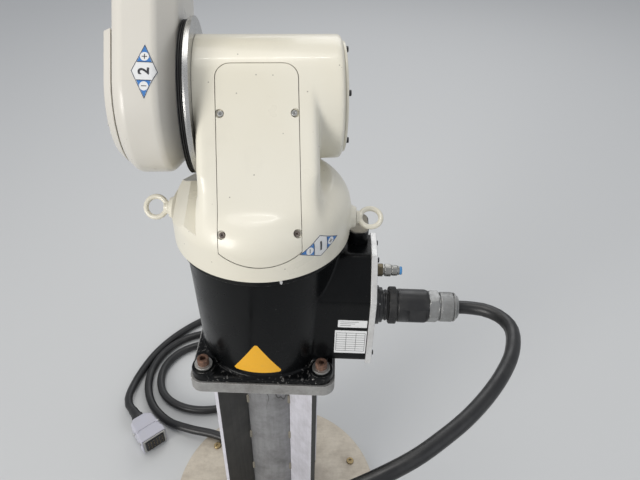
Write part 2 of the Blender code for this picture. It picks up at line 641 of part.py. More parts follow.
def model_turret(turret):
    """Models what joint 1 turns: the casting, its cover, ring, cap and eye bolts."""
    round_centre = (BELL_RADIUS - BELL_ROUND, TURRET_BOTTOM + BELL_SHOULDER_HEIGHT)
    crown = arc(round_centre, BELL_ROUND, 0, math.pi / 2, 2 * ARC_STEPS)
    profile = [(0, TURRET_BOTTOM), (BELL_RADIUS - BELL_EDGE, TURRET_BOTTOM),
               (BELL_RADIUS, TURRET_BOTTOM + BELL_EDGE)] + crown + [(0, crown[-1][1])]
    casting = turned("turret", profile, "Z")
    trunk = prism("trunk", trunk_outline(), "X", TRUNK_LEFT, TRUNK_RIGHT)
    barrel = turned("barrel", disc_profile(SHOULDER_RADIUS, SHOULDER_LEFT, SHOULDER_RIGHT, SHOULDER_EDGE),
                    "X", ROUND_STEPS, (SHOULDER_OFFSET, SHOULDER_HEIGHT))
    combine(casting, fade_trunk(soften(trunk, TRUNK_EDGE, 3, math.radians(60))))
    combine(casting, barrel)
    eye_height = TURRET_BOTTOM + EYE_RISE
    for side in (0, math.pi):
        boss = turned("boss", disc_profile(EYE_BOSS_RADIUS, BELL_RADIUS / 2, EYE_BOSS_REACH, BELL_EDGE),
                      "X", SMALL_STEPS, (0, eye_height))
        boss.rotation_euler = (0, 0, side + EYE_TURN)
        combine(casting, boss)

    cut_swing_room(casting)

    cover = cover_prism("cover", 0, COVER_THICKNESS - SEAT)
    pocket = cover_prism("pocket", COVER_GROOVE, COVER_THICKNESS)
    skin = casting.copy()
    skin.data = casting.data.copy()
    bpy.context.collection.objects.link(skin)
    combine(cover, skin, "INTERSECT")
    combine(casting, pocket, "DIFFERENCE")
    for side in (-1, 1):
        for down_along, low in ((COVER_SCREW_TOP, -COVER_SCREW_DEPTH), (COVER_SCREW_BOTTOM, COVER_SCREW_RISE)):
            combine(cover, screw_recess(side, down_along, low), "DIFFERENCE")
    settle(casting, "turret_casting", "cream", turret)
    settle(cover, "turret_cover", "cream", turret)

    cap_low = SHOULDER_RIGHT + SEAT
    cap = turned("cap", disc_profile(END_CAP_RADIUS, cap_low, cap_low + END_CAP_THICKNESS, END_CAP_EDGE),
                 "X", ROUND_STEPS, (SHOULDER_OFFSET, SHOULDER_HEIGHT))
    settle(cap, "shoulder_end_cap", "cream", turret)

    ring_right = SHOULDER_LEFT - SEAT
    ring = turned("ring", disc_profile(RING_RADIUS, ring_right - RING_THICKNESS, ring_right, PLATE_EDGE),
                  "X", ROUND_STEPS, (SHOULDER_OFFSET, SHOULDER_HEIGHT))
    settle(ring, "shoulder_ring", "aluminium", turret)

    for name, side, tilt in (("right", 0, math.radians(-65)), ("left", math.pi, math.radians(40))):
        settle(eye_bolt(), f"eye_bolt_{name}", "cream", turret, (0, 0, eye_height),
               (tilt, 0, side + EYE_TURN))
    return ring_right - RING_THICKNESS


def eye_bolt():
    """Makes a lifting eye that points along +X, seated on its boss."""
    seat = EYE_BOSS_REACH + SEAT
    collar_end = seat + EYE_COLLAR_THICKNESS
    middle = collar_end + EYE_RING_RADIUS + EYE_WIRE_RADIUS / 2
    bm = bmesh.new()
    rings = []
    for index in range(SMALL_STEPS):
        turn = math.tau * index / SMALL_STEPS
        ring = []
        for corner in range(EYE_WIRE_STEPS):
            angle = math.tau * corner / EYE_WIRE_STEPS
            radius = EYE_RING_RADIUS + EYE_WIRE_RADIUS * math.cos(angle)
            ring.append(bm.verts.new((middle + radius * math.cos(turn), EYE_WIRE_RADIUS * math.sin(angle),
                                      radius * math.sin(turn))))
        rings.append(ring)
    for ring, after in zip(rings, rings[1:] + rings[:1]):
        for index in range(len(ring)):
            following = (index + 1) % len(ring)
            bm.faces.new((ring[index], ring[following], after[following], after[index]))
    eye = object_from("eye", bm)
    collar = turned("collar", disc_profile(EYE_COLLAR_RADIUS, seat, collar_end), "X", SMALL_STEPS)
    neck = turned("neck", disc_profile(EYE_COLLAR_RADIUS / 2, seat + EYE_COLLAR_THICKNESS / 2,
                                       collar_end + EYE_WIRE_RADIUS / 2), "X", SMALL_STEPS)
    combine(collar, neck)
    return combine(collar, eye)


def link_section(inset, along):
    """Gives the link's outline, drawn in by inset, at a distance along X."""
    outline = tapered_outline(LINK_FOOT_RADIUS - inset, LINK_HEAD_RADIUS - inset, LINK_LENGTH)
    return [on_axis("X", u, v, along) for u, v in outline]


def hub_cover_section(inset, along):
    """Gives the hub cover's outline: the link's round foot with a straight top edge."""
    radius = LINK_FOOT_RADIUS - inset
    lean = math.asin((LINK_FOOT_RADIUS - LINK_HEAD_RADIUS) / LINK_LENGTH)
    foot = arc((0, 0), radius, math.pi - lean, math.tau + lean, ROUND_STEPS // 2)
    rise = LINK_COVER_TOP - radius * math.sin(lean)
    edge_shift = rise * math.tan(lean)
    right = (radius * math.cos(lean) - edge_shift, LINK_COVER_TOP)
    outline = [right, (-right[0], LINK_COVER_TOP)] + foot
    return [on_axis("X", u, v, along) for u, v in outline]


def model_link(link, inner_face):
    """Models what joint 2 turns: the seal, the link and its outer hub cover."""
    seal_right = inner_face - RUN
    seal_left = seal_right - SEAL_THICKNESS
    pitch = SEAL_THICKNESS / (2 * SEAL_RIB_COUNT + 1)
    profile = [(0, seal_left), (SEAL_RADIUS, seal_left)]
    for index in range(1, 2 * SEAL_RIB_COUNT + 1):
        radii = (SEAL_RADIUS, SEAL_RADIUS - SEAL_GROOVE_DEPTH)
        first, second = radii if index % 2 else radii[::-1]
        profile += [(first, seal_left + index * pitch), (second, seal_left + index * pitch)]
    profile += [(SEAL_RADIUS, seal_right), (0, seal_right)]
    settle(turned("seal", profile, "X"), "link_seal", "rubber", link)

    face = seal_left - SEAT
    flat_start = face - LINK_CHAMFER
    flat_end = flat_start - LINK_FLAT
    outer = flat_end - (LINK_CHAMFER - LINK_COVER_THICKNESS)
    inset = LINK_CHAMFER - LINK_COVER_THICKNESS
    casting = loft("link", [link_section(LINK_CHAMFER, face), link_section(0, flat_start),
                            link_section(0, flat_end), link_section(inset, outer)])
    settle(casting, "link_casting", "cream", link)
    cover = loft("cover", [hub_cover_section(inset, outer - SEAT),
                           hub_cover_section(LINK_CHAMFER, outer - SEAT - LINK_COVER_THICKNESS)])
    settle(cover, "link_cover", "cream", link)
    return face


def elbow_back(inset):
    """Gives the housing's rear corner and the way that its sloping back faces.

    Returns:
        The corner's centre, its radius, and the angle at which the flat back, which
        touches the hub and the corner, faces.
    """
    hub = ELBOW_RADIUS - inset
    corner = FOREARM_REAR_CORNER - inset / 2
    centre = (corner + inset - FOREARM_REAR, FOREARM_OFFSET + FOREARM_HALF_HEIGHT - inset - corner)
    return centre, corner, math.atan2(centre[1], centre[0]) + math.acos((hub - corner) / math.hypot(*centre))


def elbow_section(inset, along):
    """Gives the elbow housing's side view, drawn in by inset, at a distance along X."""
    hub = ELBOW_RADIUS - inset
    centre, corner, facing = elbow_back(inset)
    nose_low = FOREARM_OFFSET - FOREARM_HALF_HEIGHT + inset
    belly = tangent_angle((0, 0), hub, (FOREARM_NOSE, nose_low), -1)
    outline = arc(centre, corner, math.pi / 2, facing)
    outline += arc((0, 0), hub, facing, math.tau + belly, ROUND_STEPS // 3)
    outline += [(FOREARM_NOSE, nose_low), (FOREARM_NOSE, centre[1] + corner)]
    return [on_axis("X", u, v, along) for u, v in outline]


def model_elbow(elbow, link_face):
    """Models what joint 3 turns: the seal, the housing and its caps."""
    seal_left = link_face + RUN
    seal_right = seal_left + SEAL_THICKNESS
    seal = turned("seal", disc_profile(ELBOW_SEAL_RADIUS, seal_left, seal_right, PLATE_EDGE), "X")
    settle(seal, "elbow_seal", "rubber", elbow)

    left = seal_right + SEAT
    housing = loft("housing", [elbow_section(ELBOW_CHAMFER, left), elbow_section(0, left + ELBOW_CHAMFER),
                               elbow_section(0, ELBOW_RIGHT - ELBOW_CHAMFER),
                               elbow_section(ELBOW_CHAMFER, ELBOW_RIGHT)])
    settle(housing, "elbow_housing", "cream", elbow)

    cap = turned("cap", disc_profile(ELBOW_CAP_RADIUS, ELBOW_RIGHT + SEAT,
                                     ELBOW_RIGHT + SEAT + ELBOW_CAP_THICKNESS, ELBOW_CAP_EDGE), "X")
    settle(cap, "elbow_side_cap", "cream", elbow)

    centre, corner, facing = elbow_back(0)
    out = Vector((0, math.cos(facing), math.sin(facing)))
    along = Vector((0, out.z, -out.y))
    middle = (out * ELBOW_RADIUS + Vector((0, *centre)) + out * corner) / 2
    middle += Vector(((left + ELBOW_RIGHT) / 2, 0, 0))
    outline = rounded_rectangle(REAR_CAP_WIDTH, REAR_CAP_HEIGHT, REAR_CAP_CORNER)
    rear = loft("rear", [[middle + Vector((u, 0, 0)) + along * v + out * height for u, v in outline]
                         for height in (SEAT, SEAT + REAR_CAP_THICKNESS)])
    settle(rear, "forearm_rear_cap", "cream", elbow)

    ring_low = FOREARM_NOSE + SEAT
    ring = turned("ring", disc_profile(ROLL_RING_RADIUS, ring_low, ring_low + ROLL_RING_THICKNESS, PLATE_EDGE),
                  "Y", ROUND_STEPS, (0, FOREARM_OFFSET))
    settle(ring, "forearm_ring", "rubber", elbow)
    return ring_low + ROLL_RING_THICKNESS


def fork_section(width, height, corner, along):
    """Gives a rounded rectangle across the forearm's axis, as many points as the tube's ring."""
    outline = rounded_rectangle(width, height, corner, (0, 0), 7)
    return [on_axis("Y", u, v, along) for u, v in outline]


def model_forearm(roll, ring_end):
    """Models what joint 4 rolls: the tube that widens into a fork, and the fork's caps."""
    start = ring_end + RUN
    tube_end = start + FORE_TUBE_LENGTH
    round_size = 2 * FORE_TUBE_RADIUS
    yoke = FOREARM_LENGTH - FORK_YOKE
    throat = FOREARM_LENGTH - FORK_THROAT
    full = (2 * FORK_HALF_WIDTH, 2 * FORK_HALF_HEIGHT, FORK_CORNER)
    nearly_round = FORE_TUBE_RADIUS - WELD_DISTANCE * 2
    body = loft("forearm", [fork_section(round_size, round_size, nearly_round, start),
                            fork_section(round_size, round_size, nearly_round, tube_end),
                            fork_section(*full, yoke), fork_section(*full, throat + FORK_EDGE)])
    arm = [(throat, -FORK_HALF_HEIGHT)] + arc((FOREARM_LENGTH, 0), FORK_HALF_HEIGHT, -math.pi / 2,
                                              math.pi / 2, SMALL_STEPS // 2) + [(throat, FORK_HALF_HEIGHT)]
    for side in (-1, 1):
        cheek = prism("cheek", arm, "X", side * FORK_GAP_HALF, side * FORK_HALF_WIDTH)
        combine(body, cheek)
    settle(body, "forearm_fork", "cream", roll)

    for name, side in (("left", -1), ("right", 1)):
        low = FORK_HALF_WIDTH + SEAT
        cap = turned("cap", disc_profile(FORK_CAP_RADIUS, low, low + FORK_CAP_THICKNESS, FORK_CAP_EDGE),
                     "X", SMALL_STEPS)
        settle(cap, f"fork_cap_{name}", "cream", roll, (0, FOREARM_LENGTH, 0),
               (0, 0, 0 if side > 0 else math.pi))


def model_wrist(bend, spin):
    """Models the wrist body that joint 5 bends and the flange that joint 6 spins."""
    half = FORK_GAP_HALF - RUN
    wrist = turned("wrist", disc_profile(WRIST_RADIUS, -half, half, WRIST_EDGE), "X", SMALL_STEPS)
    snout = turned("snout", [(0, 0), (SNOUT_RADIUS, 0), (SNOUT_RADIUS, SNOUT_LENGTH - WRIST_EDGE),
                             (SNOUT_RADIUS - WRIST_EDGE, SNOUT_LENGTH), (0, SNOUT_LENGTH)], "Y", SMALL_STEPS)
    settle(combine(wrist, snout), "wrist_body", "cream", bend)

    face = FLANGE_LENGTH
    shoulder = face - FLANGE_THICKNESS
    flange = turned("flange", [(0, SNOUT_LENGTH + RUN), (FLANGE_NECK_RADIUS, SNOUT_LENGTH + RUN),
                               (FLANGE_NECK_RADIUS, shoulder), (FLANGE_RADIUS, shoulder),
                               (FLANGE_RADIUS, face - FLANGE_EDGE), (FLANGE_RADIUS - FLANGE_EDGE, face),
                               (FLANGE_PILOT_RADIUS, face), (FLANGE_PILOT_RADIUS, face - FLANGE_PILOT_DEPTH),
                               (0, face - FLANGE_PILOT_DEPTH)], "Y", SMALL_STEPS)
    for index in range(FLANGE_BOLT_COUNT):
        turn = math.tau * (index + 1 / 2) / FLANGE_BOLT_COUNT
        hole = turned("hole", disc_profile(FLANGE_BOLT_RADIUS, face - FLANGE_BOLT_DEPTH, face + OVERRUN), "Y",
                      2 * ARC_STEPS, (FLANGE_BOLT_CIRCLE * math.cos(turn), FLANGE_BOLT_CIRCLE * math.sin(turn)))
        combine(flange, hole, "DIFFERENCE")
    settle(flange, "tool_flange", "steel", spin)


def smooth_route(points, pitch):
    """Reads evenly spaced points from a smooth curve through the route's own points."""
    ends = [2 * points[0] - points[1]] + points + [2 * points[-1] - points[-2]]
    fine = []
    for before, low, high, after in zip(ends, ends[1:], ends[2:], ends[3:]):
        for index in range(SMALL_STEPS):
            share = index / SMALL_STEPS
            fine.append((2 * low + (high - before) * share
                         + (2 * before - 5 * low + 4 * high - after) * share ** 2
                         + (3 * low - before - 3 * high + after) * share ** 3) / 2)
    fine.append(points[-1])
    length = sum((b - a).length for a, b in zip(fine, fine[1:]))
    count = math.ceil(length / pitch)
    wanted, walked, route = length / count, 0.0, [fine[0]]
    for a, b in zip(fine, fine[1:]):
        step = (b - a).length
        while len(route) < count and walked + step >= wanted * len(route):
            route.append(a.lerp(b, (wanted * len(route) - walked) / step))
        walked += step
    return route + [fine[-1]]


def model_harness(floor, gland_end):
    """Models the cable that leaves the gland and ends, after two loose turns, in a plug."""
    start = Vector((gland_end + SEAT, PLUG_SIDE, ARM_HEIGHT + PLUG_HEIGHT))
    points = [start, start + Vector((CABLE_LEAD, 0, 0))] + [Vector(point) * MM for point in CABLE_ROUTE_MM]
    pitch = CABLE_PITCH_SHARE * 2 * CABLE_RADIUS
    route = [points[0]] + smooth_route(points[1:-1], pitch) + [points[-1]]
    curve = bpy.data.curves.new("harness_cable", "CURVE")
    curve.dimensions = "3D"
    curve.bevel_depth = CABLE_RADIUS
    curve.bevel_resolution = CABLE_SIDES
    curve.use_fill_caps = True
    spline = curve.splines.new("POLY")
    spline.points.add(len(route) - 1)
    for target, point in zip(spline.points, route):
        target.co = (*point, 1.0)
    cable = bpy.data.objects.new("harness_cable", curve)
    bpy.context.collection.objects.link(cable)
    curve.materials.append(material_for("harness_cable", "rubber"))
    cable.parent = floor

    end, heading = route[-1], (route[-1] - route[-2]).normalized()
    turn = math.atan2(-heading.x, heading.y)
    gland_end = SEAT + HOOD_GLAND_LENGTH
    gland = turned("gland", disc_profile(HOOD_GLAND_RADIUS, SEAT, gland_end + HOOD_EDGE, PLATE_EDGE),
                   "Y", SMALL_STEPS)
    hood = prism("hood", rounded_rectangle(HOOD_WIDTH, HOOD_HEIGHT, HOOD_CORNER), "Y",
                 gland_end, gland_end + HOOD_LENGTH)
    combine(hood, gland)
    place = (end.x, end.y, end.z)
    settle(hood, "harness_hood", "grey hood", floor, place, (0, 0, turn))
    insert_low = gland_end + HOOD_LENGTH + SEAT
    insert = prism("insert", rounded_rectangle(HOOD_WIDTH - HOOD_INSERT_MARGIN, HOOD_HEIGHT - HOOD_INSERT_MARGIN,
                                               HOOD_CORNER / 2), "Y", insert_low, insert_low + HOOD_INSERT_LENGTH)
    settle(insert, "harness_insert", "black", floor, place, (0, 0, turn))


def main():
    """Builds the whole machine."""
    clear_scene()
    floor = pivot("floor", None, (0, 0, 0))
    base = pivot("base", floor, (0, 0, ARM_HEIGHT))
    turret = pivot("joint_1", base, (0, 0, 0), (0, 0, TURRET_YAW))
    link = pivot("joint_2", turret, (0, SHOULDER_OFFSET, SHOULDER_HEIGHT), (-LINK_LEAN, 0, 0))
    elbow = pivot("joint_3", link, (0, 0, LINK_LENGTH), (LINK_LEAN, 0, 0))
    roll = pivot("joint_4", elbow, (0, 0, FOREARM_OFFSET))
    bend = pivot("joint_5", roll, (0, FOREARM_LENGTH, 0))
    spin = pivot("joint_6", bend, (0, 0, 0))

    model_pedestal(floor)
    panel_face = model_base(base)
    gland_end = model_connectors(base, panel_face)
    ring_face = model_turret(turret)
    link_face = model_link(link, ring_face)
    ring_end = model_elbow(elbow, link_face)
    model_forearm(roll, ring_end)
    model_wrist(bend, spin)
    model_harness(floor, gland_end)
    bpy.context.view_layer.update()


if __name__ == "__main__":
    main()
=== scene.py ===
"""Finish and small parts of a compact six-axis robot arm on a welded pedestal.

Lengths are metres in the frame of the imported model: the origin is at the centre of
the foot plate's underside, +Z is up, +X points to the connector box and -Y to the
camera. Every piece has its place in its mesh and rides on a body of the model.
"""

import itertools
import logging
import math
from dataclasses import dataclass
from enum import Enum
from functools import cache
from typing import Callable, Iterable, Sequence

import bmesh
import bpy
from mathutils import Matrix, Vector
from mathutils.bvhtree import BVHTree


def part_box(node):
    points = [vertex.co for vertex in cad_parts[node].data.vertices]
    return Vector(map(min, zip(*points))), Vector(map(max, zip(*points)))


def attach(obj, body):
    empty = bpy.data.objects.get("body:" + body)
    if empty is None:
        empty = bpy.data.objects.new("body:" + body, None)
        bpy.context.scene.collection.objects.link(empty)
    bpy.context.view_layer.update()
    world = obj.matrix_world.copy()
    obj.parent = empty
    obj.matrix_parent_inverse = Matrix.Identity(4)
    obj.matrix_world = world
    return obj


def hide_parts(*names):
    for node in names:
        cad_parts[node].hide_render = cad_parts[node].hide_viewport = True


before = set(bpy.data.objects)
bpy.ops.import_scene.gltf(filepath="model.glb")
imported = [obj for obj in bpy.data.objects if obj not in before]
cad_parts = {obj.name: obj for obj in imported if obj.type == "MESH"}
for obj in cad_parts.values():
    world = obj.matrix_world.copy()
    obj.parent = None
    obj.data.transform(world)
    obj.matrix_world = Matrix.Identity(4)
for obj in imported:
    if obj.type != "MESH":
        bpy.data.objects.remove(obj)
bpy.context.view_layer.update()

LOG = logging.getLogger("robot_arm")
MM = 0.001
GAP = 0.3 * MM  # between two pieces that lie on each other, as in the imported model

Piece = bpy.types.Object
Socket = bpy.types.NodeSocket
Material = bpy.types.Material
Pair = tuple[float, float]
Outline = Sequence[tuple[float, float]]
Shape = Callable[[float, float], float]
Colour = tuple[float, float, float]
Point = tuple[float, float, float]
Place = tuple[Vector, Vector, Vector]


class Body(Enum):
    """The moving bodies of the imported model."""

    BASE = "base"
    TURRET = "turret"
    LINK = "link"
    ELBOW = "elbow"
    FOREARM = "forearm"
    WRIST = "wrist"
    FLANGE = "flange"


class Slot(Enum):
    """The record's material slots."""

    CREAM = "cream_paint"
    BLACK = "black_paint"
    STEEL = "bare_steel"
    DARK = "dark_steel"
    ALUMINIUM = "aluminium"
    RUST = "rusty_bolt"
    NICKEL = "nickel"
    RUBBER = "black_rubber"
    PLASTIC = "black_plastic"
    HOOD = "grey_hood"
    STICKER = "cream_paint"


class Graph:
    """A material's node tree, built one node at a time on Object coordinates."""

    def __init__(self, name: str) -> None:
        """Starts a material with a Principled shader.

        Args:
            name: the material's name.
        """
        self.material = bpy.data.materials.new(name)
        self.material.use_nodes = True
        self.tree = self.material.node_tree
        self.shader = self.tree.nodes["Principled BSDF"]
        self.place = self.tree.nodes.new("ShaderNodeTexCoord").outputs["Object"]

    def put(self, target: Socket, value: object) -> None:
        """Links a socket to a target, or sets the target to a plain value.

        Args:
            target: the socket that is set.
            value: a socket, a colour or a number.
        """
        if isinstance(value, Socket):
            self.tree.links.new(value, target)
        elif isinstance(value, (tuple, list)) and target.type == "RGBA":
            target.default_value = (*value[:3], 1.0)
        else:
            target.default_value = value

    def stretched(self, scale: Point) -> Socket:
        """Gives Object coordinates scaled along each axis.

        Args:
            scale: the factor along each axis.

        Returns:
            The coordinates' socket.
        """
        node = self.tree.nodes.new("ShaderNodeMapping")
        self.put(node.inputs["Vector"], self.place)
        node.inputs["Scale"].default_value = scale
        return node.outputs["Vector"]

    def noise(self, scale: float, detail: float = 3.0, roughness: float = 0.5,
              stretch: Point = (1.0, 1.0, 1.0), seed: float = 0.0) -> Socket:
        """Gives a noise value between 0 and 1.

        Args:
            scale: features a metre.
            detail: octaves.
            roughness: weight of the finer octaves.
            stretch: scale along each axis.
            seed: shifts the pattern.

        Returns:
            The noise's value socket.
        """
        node = self.tree.nodes.new("ShaderNodeTexNoise")
        node.noise_dimensions = "4D"
        self.put(node.inputs["Vector"], self.stretched(stretch))
        node.inputs["W"].default_value = seed
        node.inputs["Scale"].default_value = scale
        node.inputs["Detail"].default_value = detail
        node.inputs["Roughness"].default_value = roughness
        return node.outputs["Fac"]

    def cells(self, scale: float, stretch: Point = (1.0, 1.0, 1.0)) -> Socket:
        """Gives the distance to the nearest of scattered points.

        Args:
            scale: points a metre.
            stretch: scale along each axis.

        Returns:
            The distance's socket.
        """
        node = self.tree.nodes.new("ShaderNodeTexVoronoi")
        self.put(node.inputs["Vector"], self.stretched(stretch))
        node.inputs["Scale"].default_value = scale
        return node.outputs["Distance"]

    def span(self, value: object, low: float, high: float,
             start: float = 0.0, end: float = 1.0) -> Socket:
        """Maps a value from low..high to start..end, and clamps it.

        Args:
            value: what is mapped.
            low: the value that gives the start.
            high: the value that gives the end.
            start: the result at low.
            end: the result at high.

        Returns:
            The result's socket.
        """
        node = self.tree.nodes.new("ShaderNodeMapRange")
        self.put(node.inputs["Value"], value)
        for label, number in (("From Min", low), ("From Max", high), ("To Min", start), ("To Max", end)):
            node.inputs[label].default_value = number
        return node.outputs["Result"]

    def compute(self, operation: str, first: object, second: object = 0.0) -> Socket:
        """Gives a sum, product or other operation on two values.

        Args:
            operation: its name in the Math node.
            first: a socket or a number.
            second: another.

        Returns:
            The result's socket.
        """
        node = self.tree.nodes.new("ShaderNodeMath")
        node.operation = operation
        self.put(node.inputs[0], first)
        self.put(node.inputs[1], second)
        return node.outputs[0]

    def blend(self, share: object, first: object, second: object) -> Socket:
        """Mixes two colours by a share.

        Args:
            share: how much of the second colour.
            first: a socket or a colour.
            second: another.

        Returns:
            The mixed colour's socket.
        """
        node = self.tree.nodes.new("ShaderNodeMix")
        node.data_type = "RGBA"
        self.put(node.inputs[0], share)
        self.put(node.inputs[6], first)
        self.put(node.inputs[7], second)
        return node.outputs[2]

    def edges(self, radius: float) -> Socket:
        """Gives 1 on sharp edges and 0 on flats.

        Args:
            radius: how far from an edge the worn strip reaches.

        Returns:
            The value's socket.
        """
        bevel = self.tree.nodes.new("ShaderNodeBevel")
        bevel.samples = 4
        bevel.inputs["Radius"].default_value = radius
        geometry = self.tree.nodes.new("ShaderNodeNewGeometry")
        dot = self.tree.nodes.new("ShaderNodeVectorMath")
        dot.operation = "DOT_PRODUCT"
        self.put(dot.inputs[0], bevel.outputs["Normal"])
        self.put(dot.inputs[1], geometry.outputs["Normal"])
        return self.span(dot.outputs["Value"], 0.99, 0.86)

    def height(self) -> Socket:
        """Gives the height over the floor.

        Returns:
            The socket of the height.
        """
        node = self.tree.nodes.new("ShaderNodeSeparateXYZ")
        self.put(node.inputs[0], self.place)
        return node.outputs["Z"]

    def bump(self, height: object, depth: float, radius: float = 0.0) -> None:
        """Raises the surface by a height times a depth, and rounds its edges by a radius.

        Args:
            height: the relief's pattern.
            depth: how high it stands.
            radius: how much edges look rounded.
        """
        node = self.tree.nodes.new("ShaderNodeBump")
        node.inputs["Distance"].default_value = depth
        self.put(node.inputs["Height"], height)
        if radius:
            edge = self.tree.nodes.new("ShaderNodeBevel")
            edge.samples = 4
            edge.inputs["Radius"].default_value = radius
            self.put(node.inputs["Normal"], edge.outputs["Normal"])
        self.put(self.shader.inputs["Normal"], node.outputs["Normal"])

    def finish(self, colour: object, roughness: object, metallic: object = 0.0) -> Material:
        """Sets the shader's main sockets and gives the material.

        Args:
            colour: the base colour.
            roughness: the roughness.
            metallic: the share of metal.

        Returns:
            The material.
        """
        self.put(self.shader.inputs["Base Color"], colour)
        self.put(self.shader.inputs["Roughness"], roughness)
        self.put(self.shader.inputs["Metallic"], metallic)
        return self.material


@dataclass(frozen=True)
class CreamPaint:
    """Semi-gloss cream paint on castings, with faint orange peel, specks, smears and rubbed edges."""

    colour: Colour = (0.77, 0.74, 0.635)
    warm: Colour = (0.73, 0.69, 0.565)
    grime: Colour = (0.26, 0.235, 0.195)
    low: float = 0.27
    high: float = 0.42
    speck_scale: float = 85.0
    speck_share: float = 0.8
    smear_share: float = 0.12
    spot: Colour = (0.24, 0.125, 0.075)
    spot_share: float = 0.0
    coat: float = 0.25
    coat_roughness: float = 0.09

    def dress(self, name: str) -> Material:
        """Builds the paint's material.

        Args:
            name: the material's name.

        Returns:
            The material.
        """
        graph = Graph(name)
        tone = graph.blend(graph.span(graph.noise(5.0, 4.0), 0.35, 0.7), self.colour, self.warm)
        speck = graph.compute("MULTIPLY", graph.span(graph.cells(self.speck_scale), 0.085, 0.05),
                              graph.span(graph.noise(21.0, 2.0, seed=3.0), 0.50, 0.54))
        graph.shader.inputs["Coat Weight"].default_value = self.coat
        graph.shader.inputs["Coat Roughness"].default_value = self.coat_roughness
        smear = graph.span(graph.noise(9.0, 6.0, 0.7, (1.0, 1.0, 0.35), 7.0), 0.55, 0.78, 0.0,
                           self.smear_share)
        rub = graph.compute("MULTIPLY", graph.edges(1.6 * MM),
                            graph.span(graph.noise(60.0, 5.0, 0.7, seed=11.0), 0.5, 0.66, 0.0, 0.28))
        worn = graph.compute("MAXIMUM", graph.compute("MULTIPLY", speck, self.speck_share),
                             graph.compute("MAXIMUM", smear, rub))
        graph.bump(graph.compute("ADD", graph.noise(650.0, 2.0), graph.compute("MULTIPLY", speck, -1.5)),
                   0.05 * MM, radius=0.7 * MM)
        spots = graph.compute("MULTIPLY", graph.span(graph.cells(34.0, (1.0, 1.0, 0.6)), 0.085, 0.05),
                              graph.span(graph.noise(14.0, 2.0, seed=5.0), 0.50, 0.55, 0.0, self.spot_share))
        return graph.finish(graph.blend(spots, graph.blend(worn, tone, self.grime), self.spot),
                            graph.span(graph.noise(22.0, 4.0), 0.3, 0.7, self.low, self.high))


@dataclass(frozen=True)
class BlackEnamel:
    """Glossy black enamel, dusty in places, with bare metal where it is scuffed."""

    colour: Colour = (0.004, 0.0044, 0.0048)
    dust: Colour = (0.075, 0.072, 0.066)
    metal: Colour = (0.40, 0.39, 0.37)
    scuff: float = 0.75
    film: float = 0.08
    low: float = 0.16
    high: float = 0.34
    worn_below: float = 0.465
    specular: float = 0.15

    def dress(self, name: str) -> Material:
        """Builds the enamel's material.

        Args:
            name: the material's name.

        Returns:
            The material.
        """
        graph = Graph(name)
        film = graph.span(graph.noise(11.0, 6.0, 0.65, (1.0, 1.0, 0.3)), 0.45, 0.85, 0.0, self.film)
        tone = graph.blend(film, self.colour, self.dust)
        chip = graph.span(graph.noise(190.0, 5.0, 0.75, seed=4.0), 0.63, 0.67)
        patch = graph.span(graph.noise(24.0, 3.0, seed=9.0), 0.62, 0.72)
        foot = graph.span(graph.height(), self.worn_below, self.worn_below - 6 * MM)
        speck = graph.span(graph.noise(230.0, 4.0, 0.7, seed=12.0), 0.585, 0.615)
        foot = graph.compute("MULTIPLY", foot, speck)
        foot = graph.compute("MULTIPLY", foot, graph.span(graph.noise(30.0, 3.0, seed=14.0), 0.46, 0.54))
        graph.shader.inputs["Specular IOR Level"].default_value = self.specular
        edge = graph.compute("MULTIPLY", graph.edges(1.4 * MM),
                             graph.span(graph.noise(85.0, 4.0, 0.7, seed=2.0), 0.5, 0.6))
        worn = graph.compute("MAXIMUM", graph.compute("MULTIPLY", chip, patch), foot)
        worn = graph.compute("MAXIMUM", worn, edge)
        bare = graph.compute("MULTIPLY", worn, self.scuff)
        graph.bump(graph.compute("SUBTRACT", graph.noise(420.0, 3.0), bare), 0.06 * MM, radius=0.8 * MM)
        return graph.finish(graph.blend(bare, tone, self.metal),
                            graph.span(graph.noise(30.0, 4.0, seed=5.0), 0.3, 0.7, self.low, self.high), bare)


